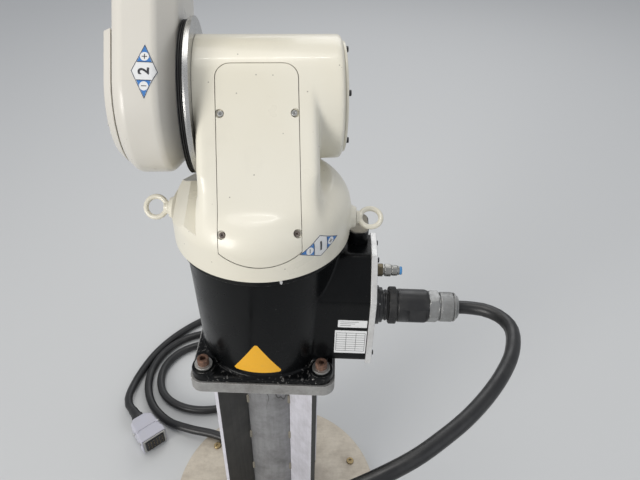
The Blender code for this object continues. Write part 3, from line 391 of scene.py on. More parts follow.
@dataclass(frozen=True)
class BareMetal:
    """Bare or plated metal, brushed along one axis, with stains, dark scale and rubbed edges."""

    colour: Colour = (0.50, 0.495, 0.48)
    dirt: Colour = (0.16, 0.145, 0.12)
    bright: Colour = (0.78, 0.77, 0.75)
    roughness: float = 0.42
    stretch: Point = (1.0, 1.0, 1.0)
    grain: float = 260.0
    dirt_share: float = 0.6
    edge_share: float = 0.5
    metallic: float = 0.85
    relief: float = 0.10
    scratches: float = 0.0

    def dress(self, name: str) -> Material:
        """Builds the metal's material.

        Args:
            name: the material's name.

        Returns:
            The material.
        """
        graph = Graph(name)
        streak = graph.noise(self.grain, 4.0, 0.6, self.stretch)
        stain = graph.span(graph.noise(26.0, 6.0, 0.7, seed=6.0), 0.42, 0.74, 0.0, self.dirt_share)
        spots = graph.span(graph.noise(210.0, 4.0, 0.7, seed=8.0), 0.64, 0.70, 0.0, self.dirt_share * 0.8)
        colour = graph.blend(graph.compute("MAXIMUM", stain, spots), self.colour, self.dirt)
        colour = graph.blend(graph.span(streak, 0.25, 0.75, 0.0, 0.22), colour, self.dirt)
        if self.scratches:
            swirl = graph.compute("SUBTRACT", graph.noise(11.0, 2.0, 0.5, (3.0, 3.0, 0.8), 21.0), 0.5)
            swirl = graph.compute("ABSOLUTE", swirl)
            patch = graph.span(graph.noise(8.0, 3.0, seed=23.0), 0.47, 0.55, 0.0, self.scratches)
            mark = graph.compute("MULTIPLY", graph.span(swirl, 0.012, 0.005), patch)
            colour = graph.blend(mark, colour, self.dirt)
        edge = graph.compute("MULTIPLY", graph.edges(1.0 * MM), self.edge_share)
        graph.bump(streak, self.relief * MM, radius=0.5 * MM)
        rough = graph.compute("ADD", graph.span(streak, 0.3, 0.7, -0.08, 0.08), self.roughness)
        return graph.finish(graph.blend(edge, colour, self.bright), rough,
                            graph.span(stain, 0.0, 1.0, self.metallic, self.metallic * 0.35))


@dataclass(frozen=True)
class Rust:
    """Brown rust over a steel head."""

    colour: Colour = (0.20, 0.105, 0.068)
    dark: Colour = (0.07, 0.042, 0.034)
    bright: Colour = (0.36, 0.22, 0.14)

    def dress(self, name: str) -> Material:
        """Builds the rust's material.

        Args:
            name: the material's name.

        Returns:
            The material.
        """
        graph = Graph(name)
        patch = graph.noise(240.0, 6.0, 0.65)
        tone = graph.blend(graph.span(patch, 0.35, 0.65), self.dark, self.colour)
        fleck = graph.span(graph.noise(500.0, 4.0, seed=2.0), 0.55, 0.7, 0.0, 0.7)
        tone = graph.blend(fleck, tone, self.bright)
        graph.bump(patch, 0.35 * MM, radius=0.5 * MM)
        return graph.finish(tone, 0.78, 0.15)


@dataclass(frozen=True)
class Moulded:
    """Rubber or moulded plastic, with a fine grain and a little dust."""

    colour: Colour = (0.013, 0.0132, 0.014)
    dust: Colour = (0.09, 0.087, 0.08)
    roughness: float = 0.42
    grain: float = 700.0
    film: float = 0.30

    def dress(self, name: str) -> Material:
        """Builds the moulding's material.

        Args:
            name: the material's name.

        Returns:
            The material.
        """
        graph = Graph(name)
        film = graph.span(graph.noise(45.0, 6.0, 0.7), 0.46, 0.8, 0.0, self.film)
        edge = graph.compute("MULTIPLY", graph.edges(0.8 * MM), 0.12)
        graph.bump(graph.noise(self.grain, 2.0), 0.05 * MM, radius=0.6 * MM)
        return graph.finish(graph.blend(graph.compute("MAXIMUM", film, edge), self.colour, self.dust),
                            graph.span(graph.noise(60.0, 3.0, seed=4.0), 0.3, 0.7, self.roughness - 0.08,
                                       self.roughness + 0.08))


@dataclass(frozen=True)
class Print:
    """Ink or film of a sticker, slightly uneven and rubbed."""

    colour: Colour = (0.8, 0.8, 0.78)
    rubbed: Colour = (0.5, 0.49, 0.46)
    roughness: float = 0.45

    def dress(self, name: str) -> Material:
        """Builds the print's material.

        Args:
            name: the material's name.

        Returns:
            The material.
        """
        graph = Graph(name)
        rub = graph.span(graph.noise(130.0, 5.0, 0.7, seed=5.0), 0.56, 0.75, 0.0, 0.4)
        graph.bump(graph.noise(380.0, 2.0), 0.02 * MM)
        return graph.finish(graph.blend(rub, self.colour, self.rubbed),
                            graph.span(rub, 0.0, 1.0, self.roughness, self.roughness + 0.2))


class Finish(Enum):
    """Every finish of the machine: its material's name and its recipe."""

    CREAM = ("cream_paint", CreamPaint())
    # The link's cream is a greyer paint, and its colour is also darkened as painted shade, since the link
    # stands further from the lamps.
    CREAM_LINK_SHADED = ("cream_paint_link", CreamPaint(colour=(0.68, 0.655, 0.595), warm=(0.64, 0.61, 0.54),
                                                 smear_share=0.22, speck_share=0.85, spot_share=0.7))
    BLACK = ("black_enamel", BlackEnamel())
    SCUFFED = ("black_enamel_scuffed", BlackEnamel(scuff=0.9, film=0.5, low=0.3, high=0.5))
    TUBE = ("brushed_tube", BareMetal(colour=(0.33, 0.33, 0.335), dirt=(0.06, 0.058, 0.055),
                                      stretch=(1.0, 1.0, 0.05), grain=150.0, dirt_share=0.7, roughness=0.5,
                                      metallic=0.4, scratches=0.9))
    # The next two finishes are one rolled steel bar twice: a lit copy painted light and a dark copy painted
    # shade, laid on the bars' faces by how they turn to the lamps.
    LIT_BAR = ("rolled_bar", BareMetal(colour=(0.74, 0.73, 0.79), dirt=(0.26, 0.25, 0.25),
                                   stretch=(1.0, 1.0, 0.05), dirt_share=0.5, roughness=0.45, edge_share=0.9,
                                   metallic=0.1))
    SHADED_BAR = ("scaled_bar", BareMetal(colour=(0.018, 0.018, 0.017), dirt=(0.06, 0.058, 0.05),
                                        stretch=(1.0, 1.0, 0.05), dirt_share=0.6, roughness=0.5,
                                        edge_share=1.0, metallic=0.1))
    PLATE = ("cut_plate", BareMetal(colour=(0.42, 0.415, 0.40), dirt=(0.11, 0.10, 0.09), dirt_share=0.8,
                                    edge_share=0.9, roughness=0.5, metallic=0.6))
    FOOT = ("ground_foot", BareMetal(colour=(0.66, 0.60, 0.50), dirt=(0.32, 0.265, 0.20),
                                     stretch=(0.25, 1.0, 1.0), dirt_share=0.7, roughness=0.55,
                                     metallic=0.25))
    MACHINED = ("machined_face", BareMetal(colour=(0.60, 0.60, 0.59), grain=700.0, dirt_share=0.3,
                                           roughness=0.30, relief=0.01, metallic=0.95))
    DULL = ("dull_face", BareMetal(colour=(0.30, 0.275, 0.22), dirt=(0.10, 0.09, 0.07), dirt_share=0.8,
                                   roughness=0.6, edge_share=0.2, metallic=0.3))
    PANEL = ("panel_metal", BareMetal(colour=(0.80, 0.80, 0.79), dirt_share=0.35, roughness=0.36,
                                      edge_share=0.8, metallic=0.45))
    ZINC = ("zinc_plate", BareMetal(colour=(0.55, 0.55, 0.53), dirt_share=0.45, roughness=0.38))
    RUST = ("rust", Rust())
    BROWN_SCREW = ("browned_screw", BareMetal(colour=(0.13, 0.095, 0.07), dirt=(0.06, 0.04, 0.03),
                                              roughness=0.5, metallic=0.5))
    BLACK_SCREW = ("black_screw", BareMetal(colour=(0.035, 0.035, 0.036), dirt=(0.02, 0.018, 0.016),
                                            roughness=0.4, edge_share=0.2, metallic=0.4))
    BRASS = ("brass", BareMetal(colour=(0.42, 0.31, 0.14), dirt=(0.10, 0.075, 0.04), roughness=0.36,
                                dirt_share=0.5))
    BRONZE = ("brown_brass", BareMetal(colour=(0.17, 0.14, 0.085), dirt=(0.06, 0.05, 0.035), roughness=0.36,
                                       dirt_share=0.6, edge_share=0.3))
    NICKEL = ("nickel", BareMetal(colour=(0.40, 0.40, 0.385), dirt=(0.16, 0.15, 0.125), roughness=0.27,
                                  relief=0.03, dirt_share=0.5, metallic=0.9))
    GLAND = ("dull_nickel", BareMetal(colour=(0.38, 0.385, 0.38), dirt=(0.13, 0.127, 0.12), roughness=0.36,
                                      relief=0.05, dirt_share=0.85, edge_share=0.06, metallic=0.75))
    RUBBER = ("black_rubber", Moulded(colour=(0.010, 0.010, 0.0105), roughness=0.55))
    PLASTIC = ("black_plastic", Moulded(roughness=0.36))
    SHEATH = ("cable_sheath", Moulded(colour=(0.012, 0.0123, 0.013), roughness=0.38, film=0.22))
    HOOD = ("grey_hood", Moulded(colour=(0.50, 0.50, 0.56), dust=(0.50, 0.48, 0.45), roughness=0.45))
    WHITE = ("white_film", Print(colour=(0.76, 0.765, 0.76)))
    INK = ("black_ink", Print(colour=(0.03, 0.03, 0.035), rubbed=(0.16, 0.16, 0.16)))
    BLUE = ("blue_ink", Print(colour=(0.045, 0.19, 0.50), rubbed=(0.25, 0.36, 0.52)))
    YELLOW = ("yellow_film", Print(colour=(0.84, 0.43, 0.02), rubbed=(0.60, 0.38, 0.10)))
    COLLET = ("blue_collet", Moulded(colour=(0.04, 0.22, 0.50), dust=(0.2, 0.3, 0.4), roughness=0.35))

    @cache
    def material(self) -> Material:
        """Gives the finish's material, and builds it at its first use."""
        name, recipe = self.value
        return recipe.dress(name)


def linked(name: str, data: bpy.types.ID) -> Piece:
    """Puts new data into the scene as an object.

    Args:
        name: the object's name.
        data: what it shows.

    Returns:
        The object.
    """
    obj = bpy.data.objects.new(name, data)
    bpy.context.collection.objects.link(obj)
    return obj


def meshed(name: str, bm: bmesh.types.BMesh) -> Piece:
    """Turns an edited mesh into an object, just as it is.

    Args:
        name: its name.
        bm: the edited mesh, which is freed.

    Returns:
        The object.
    """
    mesh = bpy.data.meshes.new(name)
    bm.to_mesh(mesh)
    bm.free()
    return linked(name, mesh)


def new_object(name: str, bm: bmesh.types.BMesh) -> Piece:
    """Turns an edited mesh into an object with its faces pointing out.

    Args:
        name: the object's name.
        bm: the mesh, which is used up.

    Returns:
        The object.
    """
    bmesh.ops.remove_doubles(bm, verts=bm.verts, dist=0.005 * MM)
    bmesh.ops.recalc_face_normals(bm, faces=bm.faces)
    return meshed(name, bm)


def on_axis(axis: str, u: float, v: float, along: float) -> Vector:
    """Gives the point at (u, v) across an axis and at a distance along it."""
    return Vector({"X": (along, u, v), "Y": (u, along, v), "Z": (u, v, along)}[axis])


def loft(name: str, sections: Sequence[Sequence[Vector]]) -> Piece:
    """Skins closed sections with equal counts of points, and caps both ends.

    Args:
        name: its name.
        sections: the outlines, in order.

    Returns:
        The closed solid.
    """
    bm = bmesh.new()
    rings = [[bm.verts.new(point) for point in section] for section in sections]
    count = len(rings[0])
    for low, high in zip(rings, rings[1:]):
        for index in range(count):
            after = (index + 1) % count
            bm.faces.new((low[index], low[after], high[after], high[index]))
    bm.faces.new(list(reversed(rings[0])))
    bm.faces.new(rings[-1])
    return new_object(name, bm)


def prism(name: str, outline: Outline, axis: str, low: float, high: float) -> Piece:
    """Extrudes a closed outline along an axis."""
    return loft(name, [[on_axis(axis, u, v, along) for u, v in outline] for along in (low, high)])


def round_section(radius: float, angle: float) -> float:
    """Gives the same radius at every angle."""
    return radius


def turned(name: str, profile: Outline, axis: str, steps: int = 96, centre: Pair = (0.0, 0.0),
           shape: Shape = round_section) -> Piece:
    """Turns a profile that starts and ends on the axis.

    Args:
        name: the object's name.
        profile: radius and distance along the axis, in order.
        axis: the axis's letter.
        steps: facets round the axis.
        centre: where the axis stands.
        shape: changes a radius by the angle, for lobes and flats.

    Returns:
        The closed solid.
    """
    bm = bmesh.new()
    rings = []
    for radius, along in profile:
        angles = [math.tau * index / steps for index in range(steps)] if radius else [0.0]
        rings.append([bm.verts.new(on_axis(axis, centre[0] + shape(radius, angle) * math.cos(angle),
                                           centre[1] + shape(radius, angle) * math.sin(angle), along))
                      for angle in angles])
    for low, high in zip(rings, rings[1:]):
        for index in range(steps):
            after = (index + 1) % steps
            corners = (low[index % len(low)], low[after % len(low)], high[after % len(high)],
                       high[index % len(high)])
            bm.faces.new(tuple(dict.fromkeys(corners)))
    return new_object(name, bm)


def disc(radius: float, low: float, high: float, edge: float = 0.0) -> Outline:
    """Gives the profile of a disc whose two rims are chamfered.

    Args:
        radius: its radius.
        low: where it starts.
        high: where it ends.
        edge: the chamfers' width.

    Returns:
        The profile, for turned.
    """
    if edge == 0:
        return [(0, low), (radius, low), (radius, high), (0, high)]
    return [(0, low), (radius - edge, low), (radius, low + edge), (radius, high - edge),
            (radius - edge, high), (0, high)]


def rounded_disc(name: str, radius: float, low: float, high: float, axis: str, steps: int, edge: float,
                 segments: int = 2, centre: Pair = (0.0, 0.0)) -> Piece:
    """Makes a disc with rounded rims, from a low to a high place along an axis through a centre."""
    return soften(turned(name, disc(radius, low, high), axis, steps, centre), edge, segments)


def slab(side: float, axis: str, low: float, high: float, centre: Pair = (0.0, 0.0)) -> Piece:
    """Makes a wide square block between two levels of an axis, for a flat cut."""
    return prism("slab", rounded_rectangle(side, side, 1 * MM, centre), axis, low, high)


def arc(centre: Pair, radius: float, start: float, end: float, steps: int = 8) -> Outline:
    """Gives points on an arc between two angles, both ends included."""
    turns = [start + (end - start) * index / steps for index in range(steps + 1)]
    return [(centre[0] + radius * math.cos(turn), centre[1] + radius * math.sin(turn)) for turn in turns]


def rounded_rectangle(width: float, height: float, corner: float, centre: Pair = (0.0, 0.0),
                      steps: int = 8) -> Outline:
    """Gives a rectangle's outline with its corners rounded.

    Args:
        width: its width.
        height: its height.
        corner: its corners' radius.
        centre: its middle.
        steps: facets round a corner.

    Returns:
        The outline.
    """
    points = []
    for turn, (side_u, side_v) in enumerate(((1, 1), (-1, 1), (-1, -1), (1, -1))):
        middle = (centre[0] + side_u * (width / 2 - corner), centre[1] + side_v * (height / 2 - corner))
        points += arc(middle, corner, turn * math.pi / 2, (turn + 1) * math.pi / 2, steps)
    return points


def tapered_outline(foot: float, head: float, length: float, steps: int = 96) -> Outline:
    """Gives the outline round two circles, one at zero and one at (0, length).

    Args:
        foot: the radius of the circle at zero.
        head: the radius of the other one.
        length: how far apart they stand.
        steps: points of the two arcs together.

    Returns:
        The outline, counter-clockwise.
    """
    lean = math.asin((foot - head) / length)
    return (arc((0, length), head, lean, math.pi - lean, steps // 2)
            + arc((0, 0), foot, math.pi - lean, math.tau + lean, steps // 2))


def tangent_angle(centre: Pair, radius: float, point: Pair, side: int) -> float:
    """Gives the angle on a circle at which a line from an outer point touches it."""
    across, up = point[0] - centre[0], point[1] - centre[1]
    return math.atan2(up, across) + side * math.acos(radius / math.hypot(across, up))


def bake(obj: Piece) -> Piece:
    """Replaces an object's mesh by what its modifiers make of it.

    Args:
        obj: the object.

    Returns:
        The object.
    """
    depsgraph = bpy.context.evaluated_depsgraph_get()
    mesh = bpy.data.meshes.new_from_object(obj.evaluated_get(depsgraph))
    obj.modifiers.clear()
    obj.data = mesh
    return obj


def combine(obj: Piece, *tools: Piece,
            operation: str = "DIFFERENCE") -> Piece:
    """Cuts an object by tools, or joins them to it, and removes the tools.

    Args:
        obj: the object.
        tools: what cuts it or joins it.
        operation: the boolean's name.

    Returns:
        The object.
    """
    for tool in tools:
        boolean = obj.modifiers.new("combine", "BOOLEAN")
        boolean.operation = operation
        boolean.solver = "EXACT"
        boolean.object = tool
        bake(obj)
        bpy.data.objects.remove(tool, do_unlink=True)
    return obj


def joined(name: str, parts: Sequence[Piece]) -> Piece:
    """Puts several objects into one, and keeps the material of each that has one.

    Args:
        name: its name.
        parts: the objects, which are removed.

    Returns:
        The one object.
    """
    materials = list(dict.fromkeys(material for part in parts for material in part.data.materials[:1]))
    bm = bmesh.new()
    for part in parts:
        first = len(bm.faces)
        bm.from_mesh(part.data)
        bm.faces.ensure_lookup_table()
        for face in bm.faces[first:]:
            face.material_index = materials.index(part.data.materials[0]) if materials else 0
        bpy.data.objects.remove(part, do_unlink=True)
    obj = meshed(name, bm)
    for material in materials:
        obj.data.materials.append(material)
    return obj


def cast(name: str, parts: Sequence[Piece], voxel: float, passes: int) -> Piece:
    """Fuses overlapping solids into one skin with soft fillets, as a casting has.

    Args:
        name: the casting's name.
        parts: solids that overlap.
        voxel: size of the skin's cells.
        passes: how often the skin is smoothed.

    Returns:
        The fused object.
    """
    obj = joined(name, parts)
    remesh = obj.modifiers.new("skin", "REMESH")
    remesh.mode = "VOXEL"
    remesh.voxel_size = voxel
    smooth = obj.modifiers.new("fillets", "SMOOTH")
    smooth.factor = 0.5
    smooth.iterations = passes
    return bake(obj)


def soften(obj: Piece, width: float, segments: int = 2,
           angle: float = math.radians(30)) -> Piece:
    """Rounds the edges that are sharper than an angle.

    Args:
        obj: the object.
        width: how much the edges are rounded.
        segments: facets across an edge.
        angle: from which angle an edge counts as sharp.

    Returns:
        The object.
    """
    bevel = obj.modifiers.new("edge", "BEVEL")
    bevel.width = width
    bevel.segments = segments
    bevel.limit_method = "ANGLE"
    bevel.angle_limit = angle
    bevel.use_clamp_overlap = True
    return bake(obj)


def shade(obj: Piece, angle: float = math.radians(32)) -> Piece:
    """Shades an object smooth up to an angle, with flat faces kept flat.

    Args:
        obj: the object.
        angle: from which angle an edge stays sharp.

    Returns:
        The object.
    """
    obj.data.shade_smooth()
    obj.data.set_sharp_from_angle(angle=angle)
    weighted = obj.modifiers.new("flats", "WEIGHTED_NORMAL")
    weighted.keep_sharp = True
    return bake(obj)


def place(obj: Piece, matrix: Matrix) -> Piece:
    """Moves an object's mesh, and leaves the object at the origin."""
    obj.data.transform(matrix)
    return obj


def twin(node: str, name: str, width: float = 0.0) -> Piece:
    """Makes a smooth copy of a node, with its doubles merged and its flats whole.

    Args:
        node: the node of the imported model.
        name: the copy's name.
        width: how much its edges are rounded.

    Returns:
        The copy.
    """
    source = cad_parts[node].data
    mesh = bpy.data.meshes.new(name)
    mesh.from_pydata([vertex.co[:] for vertex in source.vertices], [],
                     [tuple(polygon.vertices) for polygon in source.polygons])
    bm = bmesh.new()
    bm.from_mesh(mesh)
    bpy.data.meshes.remove(mesh)
    bmesh.ops.remove_doubles(bm, verts=bm.verts, dist=0.01 * MM)
    bmesh.ops.dissolve_limit(bm, angle_limit=math.radians(0.6), verts=bm.verts, edges=bm.edges)
    obj = new_object(name, bm)
    if width:
        soften(obj, width)
    return shade(obj)


def ridden(obj: Piece, body: Body, slot: Slot, *nodes: str) -> Piece:
    """Makes a piece ride on a body, and hides the nodes that it stands for.

    Args:
        obj: the object.
        body: what it rides on.
        slot: not used.
        nodes: the nodes that it stands for.

    Returns:
        The piece.
    """
    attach(obj, body.value)
    if nodes:
        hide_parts(*nodes)
    LOG.info("%s rides on %s (%d faces)", obj.name, body.value, len(obj.data.polygons))
    return obj


def painted(obj: Piece, *finishes: Finish) -> Piece:
    """Gives a piece its finishes in place of its old ones.

    Args:
        obj: the object.
        finishes: its finishes, in the order of its faces' numbers.

    Returns:
        The piece.
    """
    obj.data.materials.clear()
    for finish in finishes:
        obj.data.materials.append(finish.material())
    return obj


def dressed(obj: Piece, finish: Finish, body: Body, slot: Slot, *nodes: str) -> Piece:
    """Shades and paints a finished piece, and makes it ride on a body."""
    return ridden(painted(shade(obj), finish), body, slot, *nodes)


def surface_of(obj: Piece) -> BVHTree:
    """Gives an object's surface, for rays to be cast at.

    Args:
        obj: the object.

    Returns:
        The surface's tree.
    """
    bm = bmesh.new()
    bm.from_mesh(obj.data)
    tree = BVHTree.FromBMesh(bm)
    bm.free()
    return tree


class Repeats:
    """A Geometry Nodes tree that stands a copy of one head on every point.

    A point's attribute "aim" is the way that the head's Z axis points, and "grain" is
    the way that its X axis points. Inputs: Head, Size, Spin (the most that a head is
    turned about its own axis), Seed and Finish.
    """

    def __init__(self) -> None:
        """Builds the tree."""
        self.tree = bpy.data.node_groups.new("stand_heads", "GeometryNodeTree")
        self.inputs: dict[str, str] = {}
        face = self.tree.interface
        for label, kind in (("Points", "NodeSocketGeometry"), ("Head", "NodeSocketObject"),
                            ("Size", "NodeSocketFloat"), ("Spin", "NodeSocketFloat"),
                            ("Seed", "NodeSocketInt"), ("Finish", "NodeSocketMaterial")):
            self.inputs[label] = face.new_socket(label, in_out="INPUT", socket_type=kind).identifier
        face.new_socket("Heads", in_out="OUTPUT", socket_type="NodeSocketGeometry")
        start, end = self.add("NodeGroupInput"), self.add("NodeGroupOutput")
        head = self.add("GeometryNodeObjectInfo")
        self.link(start.outputs["Head"], head.inputs["Object"])
        turn = None
        for label, axis in (("grain", "X"), ("aim", "Z")):
            read = self.add("GeometryNodeInputNamedAttribute")
            read.data_type = "FLOAT_VECTOR"
            read.inputs["Name"].default_value = label
            align = self.add("FunctionNodeAlignRotationToVector")
            align.axis = axis
            align.pivot_axis = "AUTO" if turn is None else "X"
            self.link(read.outputs["Attribute"], align.inputs["Vector"])
            if turn is not None:
                self.link(turn, align.inputs["Rotation"])
            turn = align.outputs["Rotation"]
        stand = self.add("GeometryNodeInstanceOnPoints")
        self.link(start.outputs["Points"], stand.inputs["Points"])
        self.link(head.outputs["Geometry"], stand.inputs["Instance"])
        self.link(turn, stand.inputs["Rotation"])
        self.link(start.outputs["Size"], stand.inputs["Scale"])
        chance = self.add("FunctionNodeRandomValue")
        chance.data_type = "FLOAT"
        self.link(start.outputs["Spin"], chance.inputs[3])
        self.link(start.outputs["Seed"], chance.inputs["Seed"])
        about = self.add("ShaderNodeCombineXYZ")
        self.link(chance.outputs[1], about.inputs["Z"])
        spin = self.add("GeometryNodeRotateInstances")
        self.link(stand.outputs["Instances"], spin.inputs["Instances"])
        self.link(about.outputs["Vector"], spin.inputs["Rotation"])
        whole = self.add("GeometryNodeRealizeInstances")
        self.link(spin.outputs["Instances"], whole.inputs["Geometry"])
        dress = self.add("GeometryNodeSetMaterial")
        self.link(whole.outputs["Geometry"], dress.inputs["Geometry"])
        self.link(start.outputs["Finish"], dress.inputs["Material"])
        self.link(dress.outputs["Geometry"], end.inputs["Heads"])

    def add(self, kind: str) -> bpy.types.Node:
        """Adds a node of a kind."""
        return self.tree.nodes.new(kind)

    def link(self, source: Socket, target: Socket) -> None:
        """Links two sockets."""
        self.tree.links.new(source, target)

    def stand(self, name: str, head: Piece, places: Sequence[Place], finish: Finish,
              size: float = 1.0, spin: float = 0.0, seed: int = 1) -> Piece:
        """Stands heads on places, as one plain mesh.

        Args:
            name: the new object's name.
            head: the head, drawn at the origin; it is removed.
            places: for each head its point, its aim and its grain.
            finish: the heads' finish.
            size: the heads' scale.
            spin: the most that a head is turned about its axis.
            seed: of the turns.

        Returns:
            The object with all the heads.
        """
        mesh = bpy.data.meshes.new(name)
        mesh.from_pydata([tuple(point) for point, _, _ in places], [], [])
        for label, column in (("aim", 1), ("grain", 2)):
            layer = mesh.attributes.new(label, "FLOAT_VECTOR", "POINT")
            for item, spot in zip(layer.data, places):
                item.vector = spot[column]
        obj = linked(name, mesh)
        modifier = obj.modifiers.new("heads", "NODES")
        modifier.node_group = self.tree
        for label, value in (("Head", head), ("Size", size), ("Spin", spin), ("Seed", seed),
                             ("Finish", finish.material())):
            modifier[self.inputs[label]] = value
        bake(obj)
        bpy.data.objects.remove(head, do_unlink=True)
        return obj


def hexagon(radius: float, angle: float) -> float:
    """Gives the distance to a hexagon's side at an angle."""
    sixth = math.pi / 3
    return radius * math.cos(sixth / 2) / math.cos(angle % sixth - sixth / 2)


def cap_screw(radius: float, height: float, socket: float) -> Piece:
    """Makes a round head with a hexagon socket, standing on the origin.

    Args:
        radius: the head's radius in millimetres.
        height: its height.
        socket: the socket's radius over its corners.

    Returns:
        The head.
    """
    radius, height, socket = radius * MM, height * MM, socket * MM
    rim = 0.12 * radius
    profile = [(0, 0), (radius, 0), (radius, height - rim), (radius - rim, height), (socket, height),
               (socket, height / 3), (0, height / 3)]
    return shade(turned("screw_head", profile, "Z", 24,
                        shape=lambda reach, angle: hexagon(reach, angle) if reach <= socket else reach))


def facing(aim: Vector) -> Vector:
    """Gives a direction across an aim."""
    return aim.cross(Vector((0, 0, 1)) if abs(aim.z) < 0.9 else Vector((1, 0, 0))).normalized()


def on_points(matrix: Matrix, aim: Vector, points: Iterable[Vector]) -> list[Place]:
    """Gives places at points of a frame, whose heads all point along one aim."""
    way = matrix.to_3x3() @ aim
    return [(matrix @ point, way, facing(way)) for point in points]


def on_circle(matrix: Matrix, axis: str, radius: float, along: float, count: int, start: float = 0.0,
              centre: Pair = (0.0, 0.0)) -> list[Place]:
    """Gives places on a circle about an axis, whose heads point along the axis.

    Args:
        matrix: the frame of the circle.
        axis: the axis's letter; the heads point to its far side if along is negative.
        radius: of the circle.
        along: the circle's distance along the axis.
        count: how many places.
        start: the first one's angle.
        centre: where the axis stands.

    Returns:
        The places in the world.
    """
    turns = [start + math.tau * index / count for index in range(count)]
    return on_points(matrix, on_axis(axis, 0, 0, 1) * (1 if along >= 0 else -1),
                     [on_axis(axis, centre[0] + radius * math.cos(turn), centre[1] + radius * math.sin(turn),
                              along) for turn in turns])


def plane(point: Vector, right: Vector, normal: Vector) -> Matrix:
    """Gives the frame at a point whose X axis is right and whose Z axis is the normal.

    Args:
        point: the frame's origin.
        right: which way is right, about.
        normal: which way is out, of length one.

    Returns:
        The frame.
    """
    across = (right - normal * right.dot(normal)).normalized()
    matrix = Matrix.Identity(4)
    for row in range(3):
        matrix[row][0], matrix[row][1] = across[row], normal.cross(across)[row]
        matrix[row][2], matrix[row][3] = normal[row], point[row]
    return matrix


class Sticker:
    """Flat printed shapes, laid in layers on the surface under them."""

    def __init__(self, name: str, matrix: Matrix, onto: Piece) -> None:
        """Starts a sticker that lies on a surface, in a frame with Z out of it."""
        self.name, self.matrix, self.surface = name, matrix, surface_of(onto)
        self.layers: list[Piece] = []

    def lay(self, outline: Outline, finish: Finish, lift: float = 0.05 * MM, hole: Outline = ()) -> None:
        """Adds a shape, with its outline in the sticker's plane.

        Args:
            outline: the shape's outline.
            finish: its print.
            lift: how far it stands off the surface.
            hole: an inner outline with as many points, for a frame.
        """
        bm = bmesh.new()
        outer, inner = [[bm.verts.new((u, v, 0)) for u, v in points] for points in (outline, hole)]
        if not hole:
            bm.faces.new(outer)
        for index in range(len(inner)):
            after = (index + 1) % len(inner)
            bm.faces.new((outer[index], outer[after], inner[after], inner[index]))
        self.press(bm, finish, lift)

    def rule(self, width: float, height: float, centre: Pair, lift: float = 0.2 * MM) -> None:
        """Adds a thin bar of ink."""
        self.lay(rounded_rectangle(width, height, 0.1 * MM, centre, 1), Finish.INK, lift)

    def write(self, text: str, size: float, lift: float) -> None:
        """Adds a plain numeral in the middle.

        Args:
            text: what is written.
            size: its height.
            lift: how far it stands off the surface.
        """
        curve = bpy.data.curves.new(self.name, "FONT")
        curve.body, curve.size, curve.offset = text, size, 0.022 * size
        curve.align_x, curve.align_y = "CENTER", "CENTER"
        curve.resolution_u = 6
        letters = linked(self.name, curve)
        mesh = bpy.data.meshes.new_from_object(letters.evaluated_get(bpy.context.evaluated_depsgraph_get()))
        bpy.data.objects.remove(letters, do_unlink=True)
        bm = bmesh.new()
        bm.from_mesh(mesh)
        self.press(bm, Finish.INK, lift)

    def press(self, bm: bmesh.types.BMesh, finish: Finish, lift: float, cell: float = 2.5 * MM,
              reach: float = 25 * MM) -> None:
        """Cuts a flat shape into cells and presses it on the surface.

        Args:
            bm: the flat shape.
            finish: its print.
            lift: how far it stands off the surface.
            cell: size of the cells.
            reach: how far off the surface may be.
        """
        bmesh.ops.remove_doubles(bm, verts=bm.verts, dist=0.001 * MM)
        for axis in (0, 1):
            values = [vertex.co[axis] for vertex in bm.verts]
            count = math.ceil((max(values) - min(values)) / cell)
            for index in range(1, count):
                point, normal = Vector(), Vector()
                point[axis] = min(values) + (max(values) - min(values)) * index / count
                normal[axis] = 1.0
                bmesh.ops.bisect_plane(bm, geom=bm.verts[:] + bm.edges[:] + bm.faces[:], plane_co=point,
                                       plane_no=normal, dist=0.001 * MM)
        normal = (self.matrix.to_3x3() @ Vector((0, 0, 1))).normalized()
        for vertex in bm.verts:
            point = self.matrix @ vertex.co
            hit, face_normal, _, _ = self.surface.ray_cast(point + normal * reach, -normal, 3 * reach)
            vertex.co = hit + face_normal * lift if hit else point
        obj = painted(meshed(self.name, bm), finish)
        film = obj.modifiers.new("film", "SOLIDIFY")
        film.thickness = 0.12 * MM
        film.offset = 1.0
        self.layers.append(bake(obj))

    def build(self, body: Body, slot: Slot = Slot.STICKER) -> None:
        """Joins the layers, and makes them ride.

        Args:
            body: what it rides on.
            slot: its material slot.
        """
        obj = joined(self.name, self.layers)
        obj.data.shade_smooth()
        obj.data.set_sharp_from_angle(angle=math.radians(40))
        ridden(obj, body, slot)


